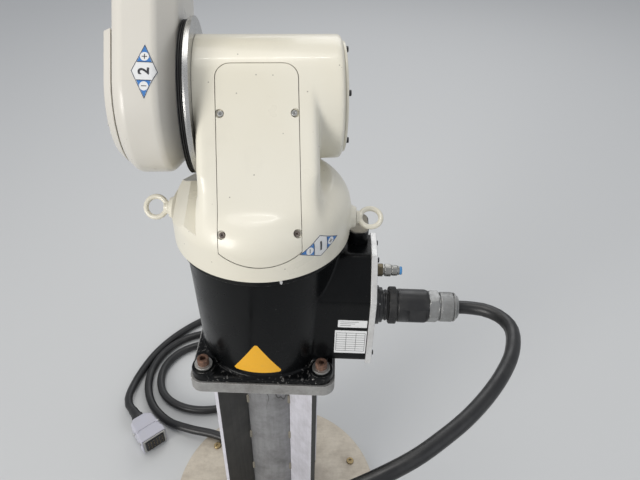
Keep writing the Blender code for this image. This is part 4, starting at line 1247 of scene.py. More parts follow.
def lay_axis_label(numeral: str, matrix: Matrix, onto: Piece, length: float, body: Body,
                   width: float = 28 * MM, border_share: float = 0.335) -> None:
    """Lays a rhombic axis label, with the numeral on its white middle and a sign in each blue end.

    Args:
        numeral: the axis's number.
        matrix: the label's frame, with X along it.
        onto: what it lies on.
        length: over its points.
        body: the body that it rides on.
        width: across.
        border_share: where the blue ends start, as a share of half the length.
    """
    half, high, border = length / 2, width / 2, border_share * length / 2

    def rhombus(grow: float) -> Outline:
        """Gives the label's outline, grown or shrunk."""
        far, wide = half + 2.2 * grow, high + 1.1 * grow
        return [(far, 0), (0, wide), (-far, 0), (0, -wide)]

    label = Sticker(f"axis_label_{numeral}", matrix, onto)
    label.lay(rhombus(0.3 * MM), Finish.WHITE)
    label.lay(rhombus(-0.1 * MM), Finish.INK, 0.2 * MM, rhombus(-0.8 * MM))
    flank = (1 - border_share) * high - 1.3 * MM
    for side in (-1, 1):
        tip, foot = side * (half - 2.0 * MM), side * border
        label.lay([(tip, 0.0), (foot, flank), (foot, -flank)], Finish.BLUE, 0.2 * MM)
        label.rule(0.7 * MM, 2 * flank, (foot, 0), 0.3 * MM)
        middle, mark = (side * 0.54 * half, 0.0), 0.34 * high
        label.lay(arc(middle, mark, 0, math.tau, 28)[:-1], Finish.WHITE, 0.33 * MM)
        label.rule(0.8 * MM, 1.2 * mark, middle, 0.46 * MM)
        if side > 0:
            label.rule(1.2 * mark, 0.8 * MM, middle, 0.46 * MM)
    label.write(numeral, width * 0.58, 0.33 * MM)
    label.build(body)


@dataclass(frozen=True)
class Studio:
    """The floor, the soft lamps and the camera at the photograph's place."""

    floor_half: float = 7.0
    floor_colour: Colour = (0.62, 0.63, 0.63)
    world_colour: Colour = (0.93, 0.95, 1.0)
    world_strength: float = 0.50
    camera_place: Point = (0.080935, -0.599449, 1.08336)
    yaw: float = -0.013
    pitch: float = 0.652
    roll: float = -0.024
    focal_pixels: float = 579.074
    picture_width: int = 640
    sensor: float = 36.0

    def floor(self) -> None:
        """Makes the pale floor."""
        mesh = bpy.data.meshes.new("studio_floor")
        signs = ((-1, -1), (1, -1), (1, 1), (-1, 1))
        corners = [(u * self.floor_half, v * self.floor_half, 0) for u, v in signs]
        mesh.from_pydata(corners, [], [(0, 1, 2, 3)])
        mesh.materials.append(Graph("studio_floor").finish(self.floor_colour, 0.85))
        linked("studio_floor", mesh)

    def world(self) -> None:
        """Sets a pale, even surrounding."""
        world = bpy.data.worlds.new("studio")
        bpy.context.scene.world = world
        world.use_nodes = True
        background = world.node_tree.nodes["Background"]
        background.inputs["Color"].default_value = (*self.world_colour, 1.0)
        background.inputs["Strength"].default_value = self.world_strength

    def lamp(self, name: str, place: Point, aim: Point, side: float, power: float, colour: Colour,
             depth: float = 0.0, spread: float = math.pi) -> None:
        """Hangs one soft lamp.

        Args:
            name: the lamp's name.
            place: where it hangs.
            aim: the point that it faces.
            side: its side length.
            power: its power in watts.
            colour: its light's colour.
            depth: its other side, where it isn't square.
            spread: the angle of its beam.
        """
        data = bpy.data.lights.new(name, "AREA")
        data.shape = "RECTANGLE"
        data.size, data.size_y = side, depth or side
        data.energy, data.color, data.spread = power, colour, spread
        obj = linked(name, data)
        obj.location = place
        obj.rotation_euler = (Vector(aim) - Vector(place)).to_track_quat("-Z", "Y").to_euler()

    def camera(self) -> None:
        """Stands the camera where the photograph was taken from."""
        ahead = Vector((math.sin(self.yaw), math.cos(self.yaw), 0))
        forward = ahead * math.cos(self.pitch) - Vector((0, 0, math.sin(self.pitch)))
        level = Vector((ahead.y, -ahead.x, 0))
        down = forward.cross(level)
        right = math.cos(self.roll) * level + math.sin(self.roll) * down
        up = math.sin(self.roll) * level - math.cos(self.roll) * down
        data = bpy.data.cameras.new("camera")
        data.sensor_width = self.sensor
        data.lens = self.focal_pixels * self.sensor / self.picture_width
        data.clip_start = 10 * MM
        obj = linked("camera", data)
        turn = Matrix((right, up, -forward)).transposed().to_4x4()
        obj.matrix_world = Matrix.Translation(self.camera_place) @ turn
        bpy.context.scene.camera = obj

    def build(self) -> None:
        """Builds the whole studio."""
        bpy.context.scene.view_settings.view_transform = "Standard"
        self.floor()
        self.world()
        self.lamp("key", (-2.3, -2.7, 1.5), (0, 0, 0.75), 1.8, 12.5, (1.0, 0.975, 0.94),
                  spread=math.radians(62))
        self.lamp("top", (-0.6, 0.5, 3.2), (0, 0, 0.7), 1.6, 20.0, (1.0, 0.97, 0.92))
        self.lamp("fill", (2.6, -1.4, 1.6), (0, 0, 0.6), 2.4, 10.0, (0.93, 0.96, 1.0))
        self.lamp("back", (0.4, 3.0, 2.6), (0, 0, 0.7), 2.0, 20.0, (1.0, 1.0, 1.0))
        self.lamp("strip", (-0.075, 0.332, 3.02), (0, 0.04, 0.8), 0.62, 3.0, (1.0, 0.98, 0.95), 0.05)
        self.camera()


@dataclass(frozen=True)
class Kinematics:
    """The frames of the joints at rest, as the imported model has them."""

    arm_height: float = 452 * MM
    shoulder_height: float = 335 * MM
    shoulder_offset: float = 75 * MM
    link_length: float = 270 * MM
    forearm_offset: float = 90 * MM
    forearm_length: float = 295 * MM
    turret_yaw: float = math.radians(5)
    link_lean: float = math.radians(38)

    def base(self) -> Matrix:
        """The arm's mounting face."""
        return Matrix.Translation((0, 0, self.arm_height))

    def turret(self) -> Matrix:
        """Joint 1, on the mounting face."""
        return self.base() @ Matrix.Rotation(self.turret_yaw, 4, "Z")

    def link(self) -> Matrix:
        """Joint 2, turned with the link."""
        return (self.turret() @ Matrix.Translation((0, self.shoulder_offset, self.shoulder_height))
                @ Matrix.Rotation(-self.link_lean, 4, "X"))

    def elbow(self) -> Matrix:
        """Joint 3, turned with the elbow housing."""
        return (self.link() @ Matrix.Translation((0, 0, self.link_length))
                @ Matrix.Rotation(self.link_lean, 4, "X"))

    def roll(self) -> Matrix:
        """The forearm's axis over joint 3."""
        return self.elbow() @ Matrix.Translation((0, 0, self.forearm_offset))

    def bend(self) -> Matrix:
        """Joint 5, at the fork's end."""
        return self.roll() @ Matrix.Translation((0, self.forearm_length, 0))


@dataclass
class SubAssembly:
    """What every sub-assembly is built with."""

    repeats: Repeats
    arm: Kinematics

    def set_screws(self, name: str, size: Point, places: Sequence[Place], finish: Finish, body: Body,
                   seed: int) -> None:
        """Sets screws with hexagon sockets, each turned by chance, from radius, height and socket."""
        ridden(self.repeats.stand(name, cap_screw(*size), places, finish, spin=math.pi, seed=seed), body,
               Slot.STEEL)


@dataclass
class Pedestal(SubAssembly):
    """The welded stand: foot plate, tube with four flat bars, and top plate."""

    foot_radius: float = 191 * MM
    foot_thickness: float = 10 * MM
    foot_edge: float = 1.2 * MM
    plate_side: float = 198 * MM
    plate_corner: float = 17 * MM
    plate_low: float = 433.7 * MM
    chip_inset: float = 5.5 * MM
    chip_rise: float = 1.2 * MM
    chips: tuple[Pair, ...] = ((2.31, 3.0), (2.44, 2.2), (3.90, 2.8), (5.46, 2.6), (5.60, 1.8))
    tube_radius: float = 50 * MM
    bar_reach: float = 101 * MM
    bar_thickness: float = 10 * MM
    bar_edge: float = 1.2 * MM
    screw_circle: float = 159 * MM
    screw_start: float = math.radians(25)
    bead: float = 3.2 * MM
    bead_pitch: float = 2.2 * MM
    bead_sink: float = 0.4 * MM
    tack_levels: tuple[float, ...] = (60 * MM, 150 * MM, 241 * MM, 333 * MM, 412 * MM)
    tack_beads: int = 7

    def plates(self) -> None:
        """Makes the round foot plate, with its rim ground, and the square top plate."""
        foot = rounded_disc("foot_plate_ground", self.foot_radius, 0, self.foot_thickness, "Z", 160,
                            self.foot_edge, 3)
        dressed(foot, Finish.FOOT, Body.BASE, Slot.STEEL, "foot_plate")
        outline = rounded_rectangle(self.plate_side, self.plate_side, self.plate_corner, steps=12)
        top = prism("top_plate_cut", outline, "Z", self.plate_low, self.arm.arm_height)
        reach = self.plate_side / math.sqrt(2) - self.chip_inset
        for turn, depth in self.chips:
            middle = (reach * math.cos(turn), reach * math.sin(turn), self.arm.arm_height + self.chip_rise)
            chip = turned("chip", disc(depth * MM, -depth * MM, depth * MM, depth * 0.5 * MM), "Z", 7)
            combine(top, place(chip, Matrix.Translation(middle) @ Matrix.Rotation(turn, 4, "X")))
        dressed(soften(top, 0.9 * MM), Finish.PLATE, Body.BASE, Slot.STEEL, "top_plate")

    def ways(self) -> list[tuple[float, Vector, Vector]]:
        """Gives each bar's way.

        Returns:
            Each bar's angle, its way out and the way across it.
        """
        turns = [math.tau * (index + 1 / 2) / 4 for index in range(4)]
        return [(turn, Vector((math.cos(turn), math.sin(turn), 0)),
                 Vector((-math.sin(turn), math.cos(turn), 0))) for turn in turns]

    def column(self) -> None:
        """Makes the tube and its four bars, painted with light and shade: the two left bars have shaded sides
        and lit outer faces, the two right bars lit sides and shaded outer faces.
        """
        low, high = self.foot_thickness + GAP, self.plate_low - GAP
        tube = rounded_disc("column_tube_drawn", self.tube_radius, low, high, "Z", 96, 0.5 * MM)
        dressed(tube, Finish.TUBE, Body.BASE, Slot.STEEL, "column_tube")
        start = self.tube_radius + GAP
        outline = rounded_rectangle(self.bar_reach - start, self.bar_thickness, self.bar_edge,
                                    ((self.bar_reach + start) / 2, 0), 4)
        for index, (turn, out, _) in enumerate(self.ways()):
            bar = prism(f"column_bar_{index + 1}", outline, "Z", low, high)
            place(bar, Matrix.Rotation(turn, 4, "Z"))
            # Painted light and shade: the left bars take the painted-shade finish on their sides and the
            # painted-light one on their outer faces, the right bars the reverse.
            finishes = (Finish.SHADED_BAR, Finish.LIT_BAR) if index in (1, 2) else (Finish.LIT_BAR, Finish.SHADED_BAR)
            painted(shade(bar), *finishes)
            for face in bar.data.polygons:
                face.material_index = int(face.normal.dot(out) > 0.8)
            ridden(bar, Body.BASE, Slot.DARK, f"column_fin_{index + 1}")

    def welds(self) -> None:
        """Lays rippled weld beads at the bars' ends, and short tacks along the tube."""
        places: list[Place] = []
        upright = Vector((0, 0, 1))
        count = round((self.bar_reach - self.tube_radius - 6 * MM) / self.bead_pitch)
        for index, (_, out, side) in enumerate(self.ways()):
            for level, up in ((self.foot_thickness, 1), (self.plate_low, -1)):
                for flank in (-1, 1):
                    aim = (side * flank + upright * up).normalized()
                    for step in range(count):
                        reach = self.tube_radius + 3 * MM + step * self.bead_pitch
                        corner = out * reach + side * (flank * self.bar_thickness / 2) + upright * level
                        places.append((corner + aim * self.bead_sink, aim, out))
            for height in self.tack_levels:
                for flank in (-1, 1):
                    aim = (out + side * flank * 2).normalized()
                    foot = out * (self.tube_radius - self.bead_sink) + side * (flank * self.bar_thickness / 2)
                    start = height + (9 * (index % 2) + flank * 4) * MM
                    places += [(foot + upright * (start + step * self.bead_pitch), aim, upright)
                               for step in range(self.tack_beads)]
        profile = [(0, -0.5), (0.8, -0.35), (1.0, 0.1), (0.8, 0.5), (0.4, 0.72), (0, 0.8)]
        scale = place(turned("bead_scale", profile, "Z", 10), Matrix.Scale(self.bead, 4))
        scale.data.shade_smooth()
        ridden(self.repeats.stand("weld_beads", scale, places, Finish.DULL, spin=0.5, seed=5), Body.BASE,
               Slot.STEEL)

    def build(self) -> None:
        """Builds the stand, with three brass screws sunk in its foot plate."""
        self.plates()
        self.column()
        self.welds()
        places = on_circle(Matrix.Identity(4), "Z", self.screw_circle, self.foot_thickness - 0.2 * MM, 3,
                           self.screw_start)
        self.set_screws("foot_screws", (7.4, 3.6, 3.6), places, Finish.BRASS, Body.BASE, 2)


@dataclass
class BaseHousing(SubAssembly):
    """The fixed black casting with its flange, bolts, connector box, panel and stickers."""

    flange_side: float = 193 * MM
    flange_thickness: float = 9 * MM
    flange_corner: float = 18 * MM
    boss_radius: float = 16.5 * MM
    boss_height: float = 15.7 * MM
    bolt_pitch: float = 160 * MM
    washer_radius: float = 12 * MM
    washer_thickness: float = 3 * MM
    foot_radius: float = 93.4 * MM
    top_radius: float = 99.2 * MM
    top: float = 184 * MM
    edge: float = 3 * MM
    ring_radius: float = 106.5 * MM
    ring_top: float = 194 * MM
    far: float = 300 * MM
    box_half: float = 66 * MM
    box_low: float = 17 * MM
    box_corner: float = 126 * MM
    box_top: float = 168 * MM
    box_top_half: float = 24 * MM
    box_end: float = 139.4 * MM
    box_edge: float = 5 * MM
    lug_width: float = 27 * MM
    lug_length: float = 46 * MM
    lug_corner: float = 11 * MM
    lug_inset: float = 3 * MM
    lug_bevel: float = 1.2 * MM
    panel_thickness: float = 8 * MM
    panel_lip: float = 1.9 * MM
    panel_screws: tuple[Pair, ...] = ((-57, 26), (57, 26), (-57, 118), (57, 118), (-18, 158), (18, 158))
    plug_centre: Pair = (22 * MM, 112 * MM)
    chip: Outline = ((-3.4, 4.4), (-3.9, 2.2), (-1.6, 0.9), (-1.5, -2.6), (0.5, -4.6), (1.9, -2.0),
                     (1.4, 1.4), (3.2, 2.6), (3.0, 4.4))

    def box_outline(self, lip: float = 0.0) -> Outline:
        """Gives the connector box's section, grown by a lip.

        Args:
            lip: how much larger it is on every side.

        Returns:
            The outline.
        """
        width, top_width = self.box_half + lip, self.box_top_half + lip / 2
        corner, top, low = self.box_corner + lip / 2, self.box_top + lip, self.box_low - lip
        return [(-width, low), (width, low), (width, corner), (top_width, top), (-top_width, top),
                (-width, corner)]

    def corners(self) -> list[Pair]:
        """Gives the bolts' places."""
        half = self.bolt_pitch / 2
        return [(x * half, y * half) for x, y in ((-1, -1), (1, -1), (1, 1), (-1, 1))]

    def casting(self) -> Piece:
        """Makes the casting as one skin with soft fillets and a flat foot.

        Returns:
            The casting.
        """
        over = 6 * MM
        flange = rounded_rectangle(self.flange_side, self.flange_side, self.flange_corner)
        barrel = [(0, 0), (self.foot_radius, 0), (self.foot_radius, self.flange_thickness),
                  (self.top_radius, self.top - self.edge), (self.top_radius - self.edge, self.top),
                  (0, self.top)]
        box = prism("box", self.box_outline(), "X", self.foot_radius / 2, self.box_end + over)
        parts = [prism("flange", flange, "Z", -over, self.flange_thickness),
                 turned("barrel", barrel, "Z", 128), soften(box, self.box_edge, 4)]
        parts += [turned("boss", disc(self.boss_radius, 0, self.boss_height, 0.8 * MM), "Z", 48, corner)
                  for corner in self.corners()]
        skin = cast("base_housing_cast", parts, 1.9 * MM, 5)
        combine(skin, slab(self.far, "Z", -self.far, GAP),
                slab(self.far, "X", self.box_end, self.box_end + self.far, (0, self.far / 4)))
        return dressed(place(skin, self.arm.base()), Finish.BLACK, Body.BASE, Slot.BLACK, "base_casting")

    def bolts(self) -> None:
        """Makes each rusty bolt on its bright washer."""
        for index, (x, y) in enumerate(self.corners()):
            washer = rounded_disc("washer", self.washer_radius, 0, self.washer_thickness, "Z", 48, 0.4 * MM)
            head = place(cap_screw(8, 10, 4.6), Matrix.Translation((0, 0, self.washer_thickness - 0.1 * MM))
                         @ Matrix.Rotation(0.7 * index, 4, "Z"))
            bolt = joined(f"base_bolt_head_{index + 1}", [painted(shade(washer), Finish.ZINC),
                                                          painted(head, Finish.RUST)])
            place(bolt, self.arm.base() @ Matrix.Translation((x, y, self.boss_height + GAP)))
            ridden(bolt, Body.BASE, Slot.RUST, f"base_bolt_{index + 1}")

    def lug_block(self, name: str, inset: float, low: float, high: float, edge: float) -> Piece:
        """Makes one block of the stop lug, between two heights over the box.

        Args:
            name: its name.
            inset: how much smaller it is on every side.
            low: where it starts.
            high: where it ends.
            edge: how much its edges are rounded.

        Returns:
            The block.
        """
        centre = (self.box_end - self.lug_inset - self.lug_width / 2, self.lug_length / 2 - 1 * MM)
        outline = rounded_rectangle(self.lug_width - 2 * inset, self.lug_length - 2 * inset,
                                    self.lug_corner - inset, centre, 10)
        return soften(prism(name, outline, "Z", self.box_top + low, self.box_top + high), edge)

    def ring_and_stop(self) -> Piece:
        """Makes the bare ring under the turret and the lug on the box, whose top is machined.

        Returns:
            The ring.
        """
        ring = rounded_disc("base_ring_bare", self.ring_radius, self.top + GAP, self.ring_top, "Z", 128,
                            0.8 * MM)
        dressed(place(ring, self.arm.base()), Finish.SCUFFED, Body.BASE, Slot.STEEL, "base_ring")
        lug = self.lug_block("stop_lug_body", 0, GAP, 18.6 * MM, 0.8 * MM)
        face = self.lug_block("stop_lug_face", self.lug_bevel, 18 * MM, 20 * MM, 0.4 * MM)
        both = joined("stop_lug", [painted(shade(lug), Finish.BLACK), painted(shade(face), Finish.DULL)])
        ridden(place(both, self.arm.base()), Body.BASE, Slot.BLACK, "rear_block")
        return ring

    def panel(self) -> None:
        """Makes the connector panel with its screws and a blanking plug."""
        low, face = self.box_end + GAP, self.box_end + GAP + self.panel_thickness
        plate = prism("connector_panel_plate", self.box_outline(self.panel_lip), "X", low, face)
        dressed(place(soften(plate, 1.0 * MM, 3), self.arm.base()), Finish.PANEL, Body.BASE,
                Slot.ALUMINIUM, "connector_panel")
        places = on_points(self.arm.base(), Vector((1, 0, 0)),
                           [Vector((face - 0.2 * MM, y * MM, z * MM)) for y, z in self.panel_screws])
        self.set_screws("panel_screws", (3.4, 3.0, 1.7), places, Finish.BLACK_SCREW, Body.BASE, 4)
        profile = [(radius * MM, face + along * MM) for radius, along in
                   ((0, -0.3), (8.5, -0.3), (8.5, 2.5), (6.4, 2.5), (6.4, 5.5), (0, 5.5))]
        plug = place(soften(turned("blanking_plug", profile, "X", 48, self.plug_centre), 0.5 * MM),
                     self.arm.base())
        dressed(plug, Finish.PLASTIC, Body.BASE, Slot.PLASTIC)

    def triangle(self, casting: Piece) -> None:
        """Lays the plain yellow triangle on the casting.

        Args:
            casting: what it lies on.
        """
        normal = Vector((-0.053, -0.998, -0.03)).normalized()
        sticker = Sticker("triangle_sticker", plane(Vector((-5.0, -93, 492)) * MM, Vector((1, 0, 0)), normal),
                          casting)
        outline = []
        for turn, u, v in ((-150, -31.5, -20), (-30, 31.5, -20), (90, 0.5, 34)):
            outline += arc((u * 0.9 * MM, v * 0.9 * MM), 3 * MM, math.radians(turn - 60),
                           math.radians(turn + 60), 6)
        sticker.lay(outline, Finish.YELLOW)
        sticker.build(Body.BASE)

    def labels(self, casting: Piece, ring: Piece) -> None:
        """Lays the two blank ruled labels on the box, and a bare chip on the ring.

        Args:
            casting: what the labels lie on.
            ring: what the chip lies on.
        """
        spot = Vector((30.9, -101.7, 641.5)) * MM
        chip = Sticker("ring_chip", plane(spot, Vector((0.957, 0.291, 0)), Vector((0.291, -0.957, 0))), ring)
        chip.lay([(u * MM, v * MM) for u, v in self.chip], Finish.PANEL)
        chip.build(Body.BASE, Slot.STEEL)
        across, out = Vector((1, 0, 0)), Vector((0, -1, 0))
        upper = Sticker("box_label_upper", plane(Vector((119, -66, 540.5)) * MM, across, out), casting)
        upper.lay(rounded_rectangle(38 * MM, 13 * MM, 1 * MM), Finish.WHITE)
        for row in range(3):
            upper.rule((24 - 5 * row) * MM, 0.5 * MM, ((-4 - 2.5 * row) * MM, (3.4 - row * 3.2) * MM))
        upper.build(Body.BASE)
        lower = Sticker("box_label_lower", plane(Vector((117.6, -66, 506.5)) * MM, across, out), casting)
        lower.lay(rounded_rectangle(42 * MM, 43 * MM, 1 * MM), Finish.WHITE)
        for row in range(9):
            lower.rule(38 * MM, 0.45 * MM, (0, (17 - row * 4.25) * MM))
        for column in (-19, -6, 7, 19):
            lower.rule(0.45 * MM, 34 * MM, (column * MM, 0))
        lower.build(Body.BASE)

    def build(self) -> None:
        """Builds the fixed part of the arm."""
        casting = self.casting()
        self.bolts()
        ring = self.ring_and_stop()
        self.panel()
        self.triangle(casting)
        self.labels(casting, ring)


@dataclass
class Connectors(SubAssembly):
    """The round power connector with its plug and cable gland, and the air fitting."""

    face: float = 148.0 * MM
    plug_centre: Pair = (-40 * MM, 100 * MM)
    fitting_centre: Pair = (-20 * MM, 143 * MM)
    lobes: int = 8
    lobe_depth: float = 1.5 * MM
    ribs: int = 72
    rib_circle: float = 19.2 * MM
    rib_place: float = 94 * MM

    def stage(self, name: str, profile: Outline, finish: Finish, width: float = 0.5, steps: int = 96,
              shape: Shape = round_section, centre: Pair | None = None) -> Piece:
        """Turns one stage of a connector about its axis, with its edges rounded.

        Args:
            name: the stage's name.
            profile: radius and distance off the panel, in millimetres.
            finish: its finish.
            width: how much its edges are rounded, in millimetres.
            steps: facets round the axis.
            shape: changes a radius by the angle.
            centre: where the axis stands, if it isn't the plug's.

        Returns:
            The stage.
        """
        points = [(radius * MM, self.face + along * MM) for radius, along in profile]
        obj = soften(turned(name, points, "X", steps, centre or self.plug_centre, shape), width * MM)
        return painted(shade(place(obj, self.arm.base())), finish)

    def lobed(self, radius: float, angle: float) -> float:
        """Waves the coupling ring's rim in lobes.

        Args:
            radius: the distance from the plug's axis.
            angle: the angle round it.

        Returns:
            The new distance.
        """
        if radius < 24 * MM:
            return radius
        return radius - self.lobe_depth * max(0.0, math.cos(self.lobes * angle)) ** 4

    def receptacle(self) -> None:
        """Makes the stepped receptacle on the panel and its four screws."""
        profile = [(0, 0.3), (25.5, 0.3), (25.5, 4.2), (23.2, 5.4), (23.2, 9), (19.5, 9.6), (19.5, 12.2),
                   (20.6, 12.6), (20.6, 14.6), (19.5, 15), (19.5, 17), (0, 17)]
        body = self.stage("receptacle_body", profile, Finish.PLASTIC)
        ridden(body, Body.BASE, Slot.BLACK, "round_receptacle")
        places = on_circle(self.arm.base(), "X", 24.2 * MM, self.face + 4.0 * MM, 4, math.radians(45),
                           self.plug_centre)
        self.set_screws("receptacle_screws", (1.3, 1.2, 0.6), places, Finish.NICKEL, Body.BASE, 6)

    def plug(self) -> None:
        """Makes the lobed coupling ring and the plug's body with its steps and its flat."""
        profile = [(0, 17.3), (23.4, 17.3), (24.8, 18.4), (24.8, 26.4), (23.4, 27.4), (21.2, 27.6),
                   (21.2, 28.3), (0, 28.3)]
        coupling = self.stage("coupling_ring", profile, Finish.RUBBER, 0.3, 144, self.lobed)
        profile = [(0, 28.3), (21.2, 28.3), (21.2, 29.2), (22, 30), (22, 64.8), (20.4, 69.3), (0, 69.3)]
        body = self.stage("plug_body", profile, Finish.PLASTIC, steps=128)
        outline = rounded_rectangle(23 * MM, 24 * MM, 3 * MM, (self.face + 55 * MM, 101 * MM), 6)
        window = prism("window", outline, "Y", -70 * MM, -59.6 * MM)
        combine(body, place(window, self.arm.base()))
        both = joined("plug_with_coupling", [coupling, painted(shade(body), Finish.PLASTIC)])
        ridden(both, Body.BASE, Slot.RUBBER, "harness_plug")

    def gland(self) -> None:
        """Makes the nickel gland: a hexagon, a knurled nut and a lip."""
        def six(radius: float, angle: float) -> float:
            """Gives the hexagon's flats, cut round at its corners, where the radius is large."""
            return min(hexagon(radius, angle) * 1.03 if radius > 20.3 * MM else radius, 21.5 * MM)
        profile = [(0, 69.6), (19.6, 69.6), (21.2, 70.8), (21.2, 81.2), (19.6, 82.4), (0, 82.4)]
        hexed = self.stage("gland_hexagon", profile, Finish.GLAND, 0.3, shape=six)
        profile = [(0, 79), (16.6, 79), (16.6, 84.4), (18.8, 84.6), (19.4, 85.2), (19.4, 100.6), (19.0, 101),
                   (17.0, 101.2), (17.0, 102.4), (19.0, 102.6), (19.0, 104), (18.2, 104.8), (15, 105),
                   (15, 108.0), (14.2, 108.5), (10.4, 108.5), (0, 108.4)]
        nut = self.stage("gland_nut", profile, Finish.GLAND, 0.2)
        middle = Vector((self.face + self.rib_place, *self.plug_centre))
        aims = [Vector((0, math.cos(turn), math.sin(turn)))
                for turn in (math.tau * index / self.ribs for index in range(self.ribs))]
        places = [(self.arm.base() @ (middle + aim * self.rib_circle), aim, Vector((1, 0, 0)))
                  for aim in aims]
        rib = prism("knurl_rib", [(-0.75 * MM, -0.6 * MM), (0.75 * MM, -0.6 * MM), (0.45 * MM, 0.35 * MM),
                                  (-0.45 * MM, 0.35 * MM)], "X", -7.6 * MM, 6.2 * MM)
        knurl = painted(self.repeats.stand("knurl", rib, places, Finish.GLAND), Finish.GLAND)
        ridden(joined("cable_gland_nickel", [hexed, nut, knurl]), Body.BASE, Slot.NICKEL, "cable_gland")

    def fitting(self) -> None:
        """Makes the air fitting: a brass hexagon, a nickel hexagon, a tip and a blue collet."""
        def flats(radius: float, angle: float) -> float:
            """Gives a hexagon whose corners are cut round."""
            return min(hexagon(radius, angle) * 1.06, radius)
        stages = [("fitting_brass", Finish.BRONZE, flats,
                   [(0, 0.3), (7.6, 0.3), (8.5, 1.0), (8.5, 7.6), (7.6, 8.4), (0, 8.4)]),
                  ("fitting_hexagon", Finish.NICKEL, flats,
                   [(0, 8.3), (6.4, 8.3), (6.4, 10), (7.4, 10), (8.2, 10.8), (8.2, 18.2), (7.4, 19),
                    (6.2, 19.4), (0, 19.4)]),
                  ("fitting_tip", Finish.NICKEL, round_section,
                   [(0, 19.3), (6.4, 19.3), (7.0, 20), (7.0, 26.2), (6.4, 27.2), (5.8, 27.8), (5.8, 29.6),
                    (0, 29.6)]),
                  ("fitting_collet", Finish.COLLET, round_section,
                   [(3.4, 27), (5.2, 27), (5.2, 30.2), (5.5, 30.8), (5.5, 32.4), (5.0, 33), (3.8, 33),
                    (3.4, 32.4), (3.4, 27)])]
        parts = [self.stage(name, profile, finish, 0.3, 72, shape, self.fitting_centre)
                 for name, finish, shape, profile in stages]
        ridden(joined("air_fitting_stages", parts), Body.BASE, Slot.NICKEL, "air_fitting")

    def build(self) -> None:
        """Builds everything that stands on the panel."""
        self.receptacle()
        self.plug()
        self.gland()
        self.fitting()


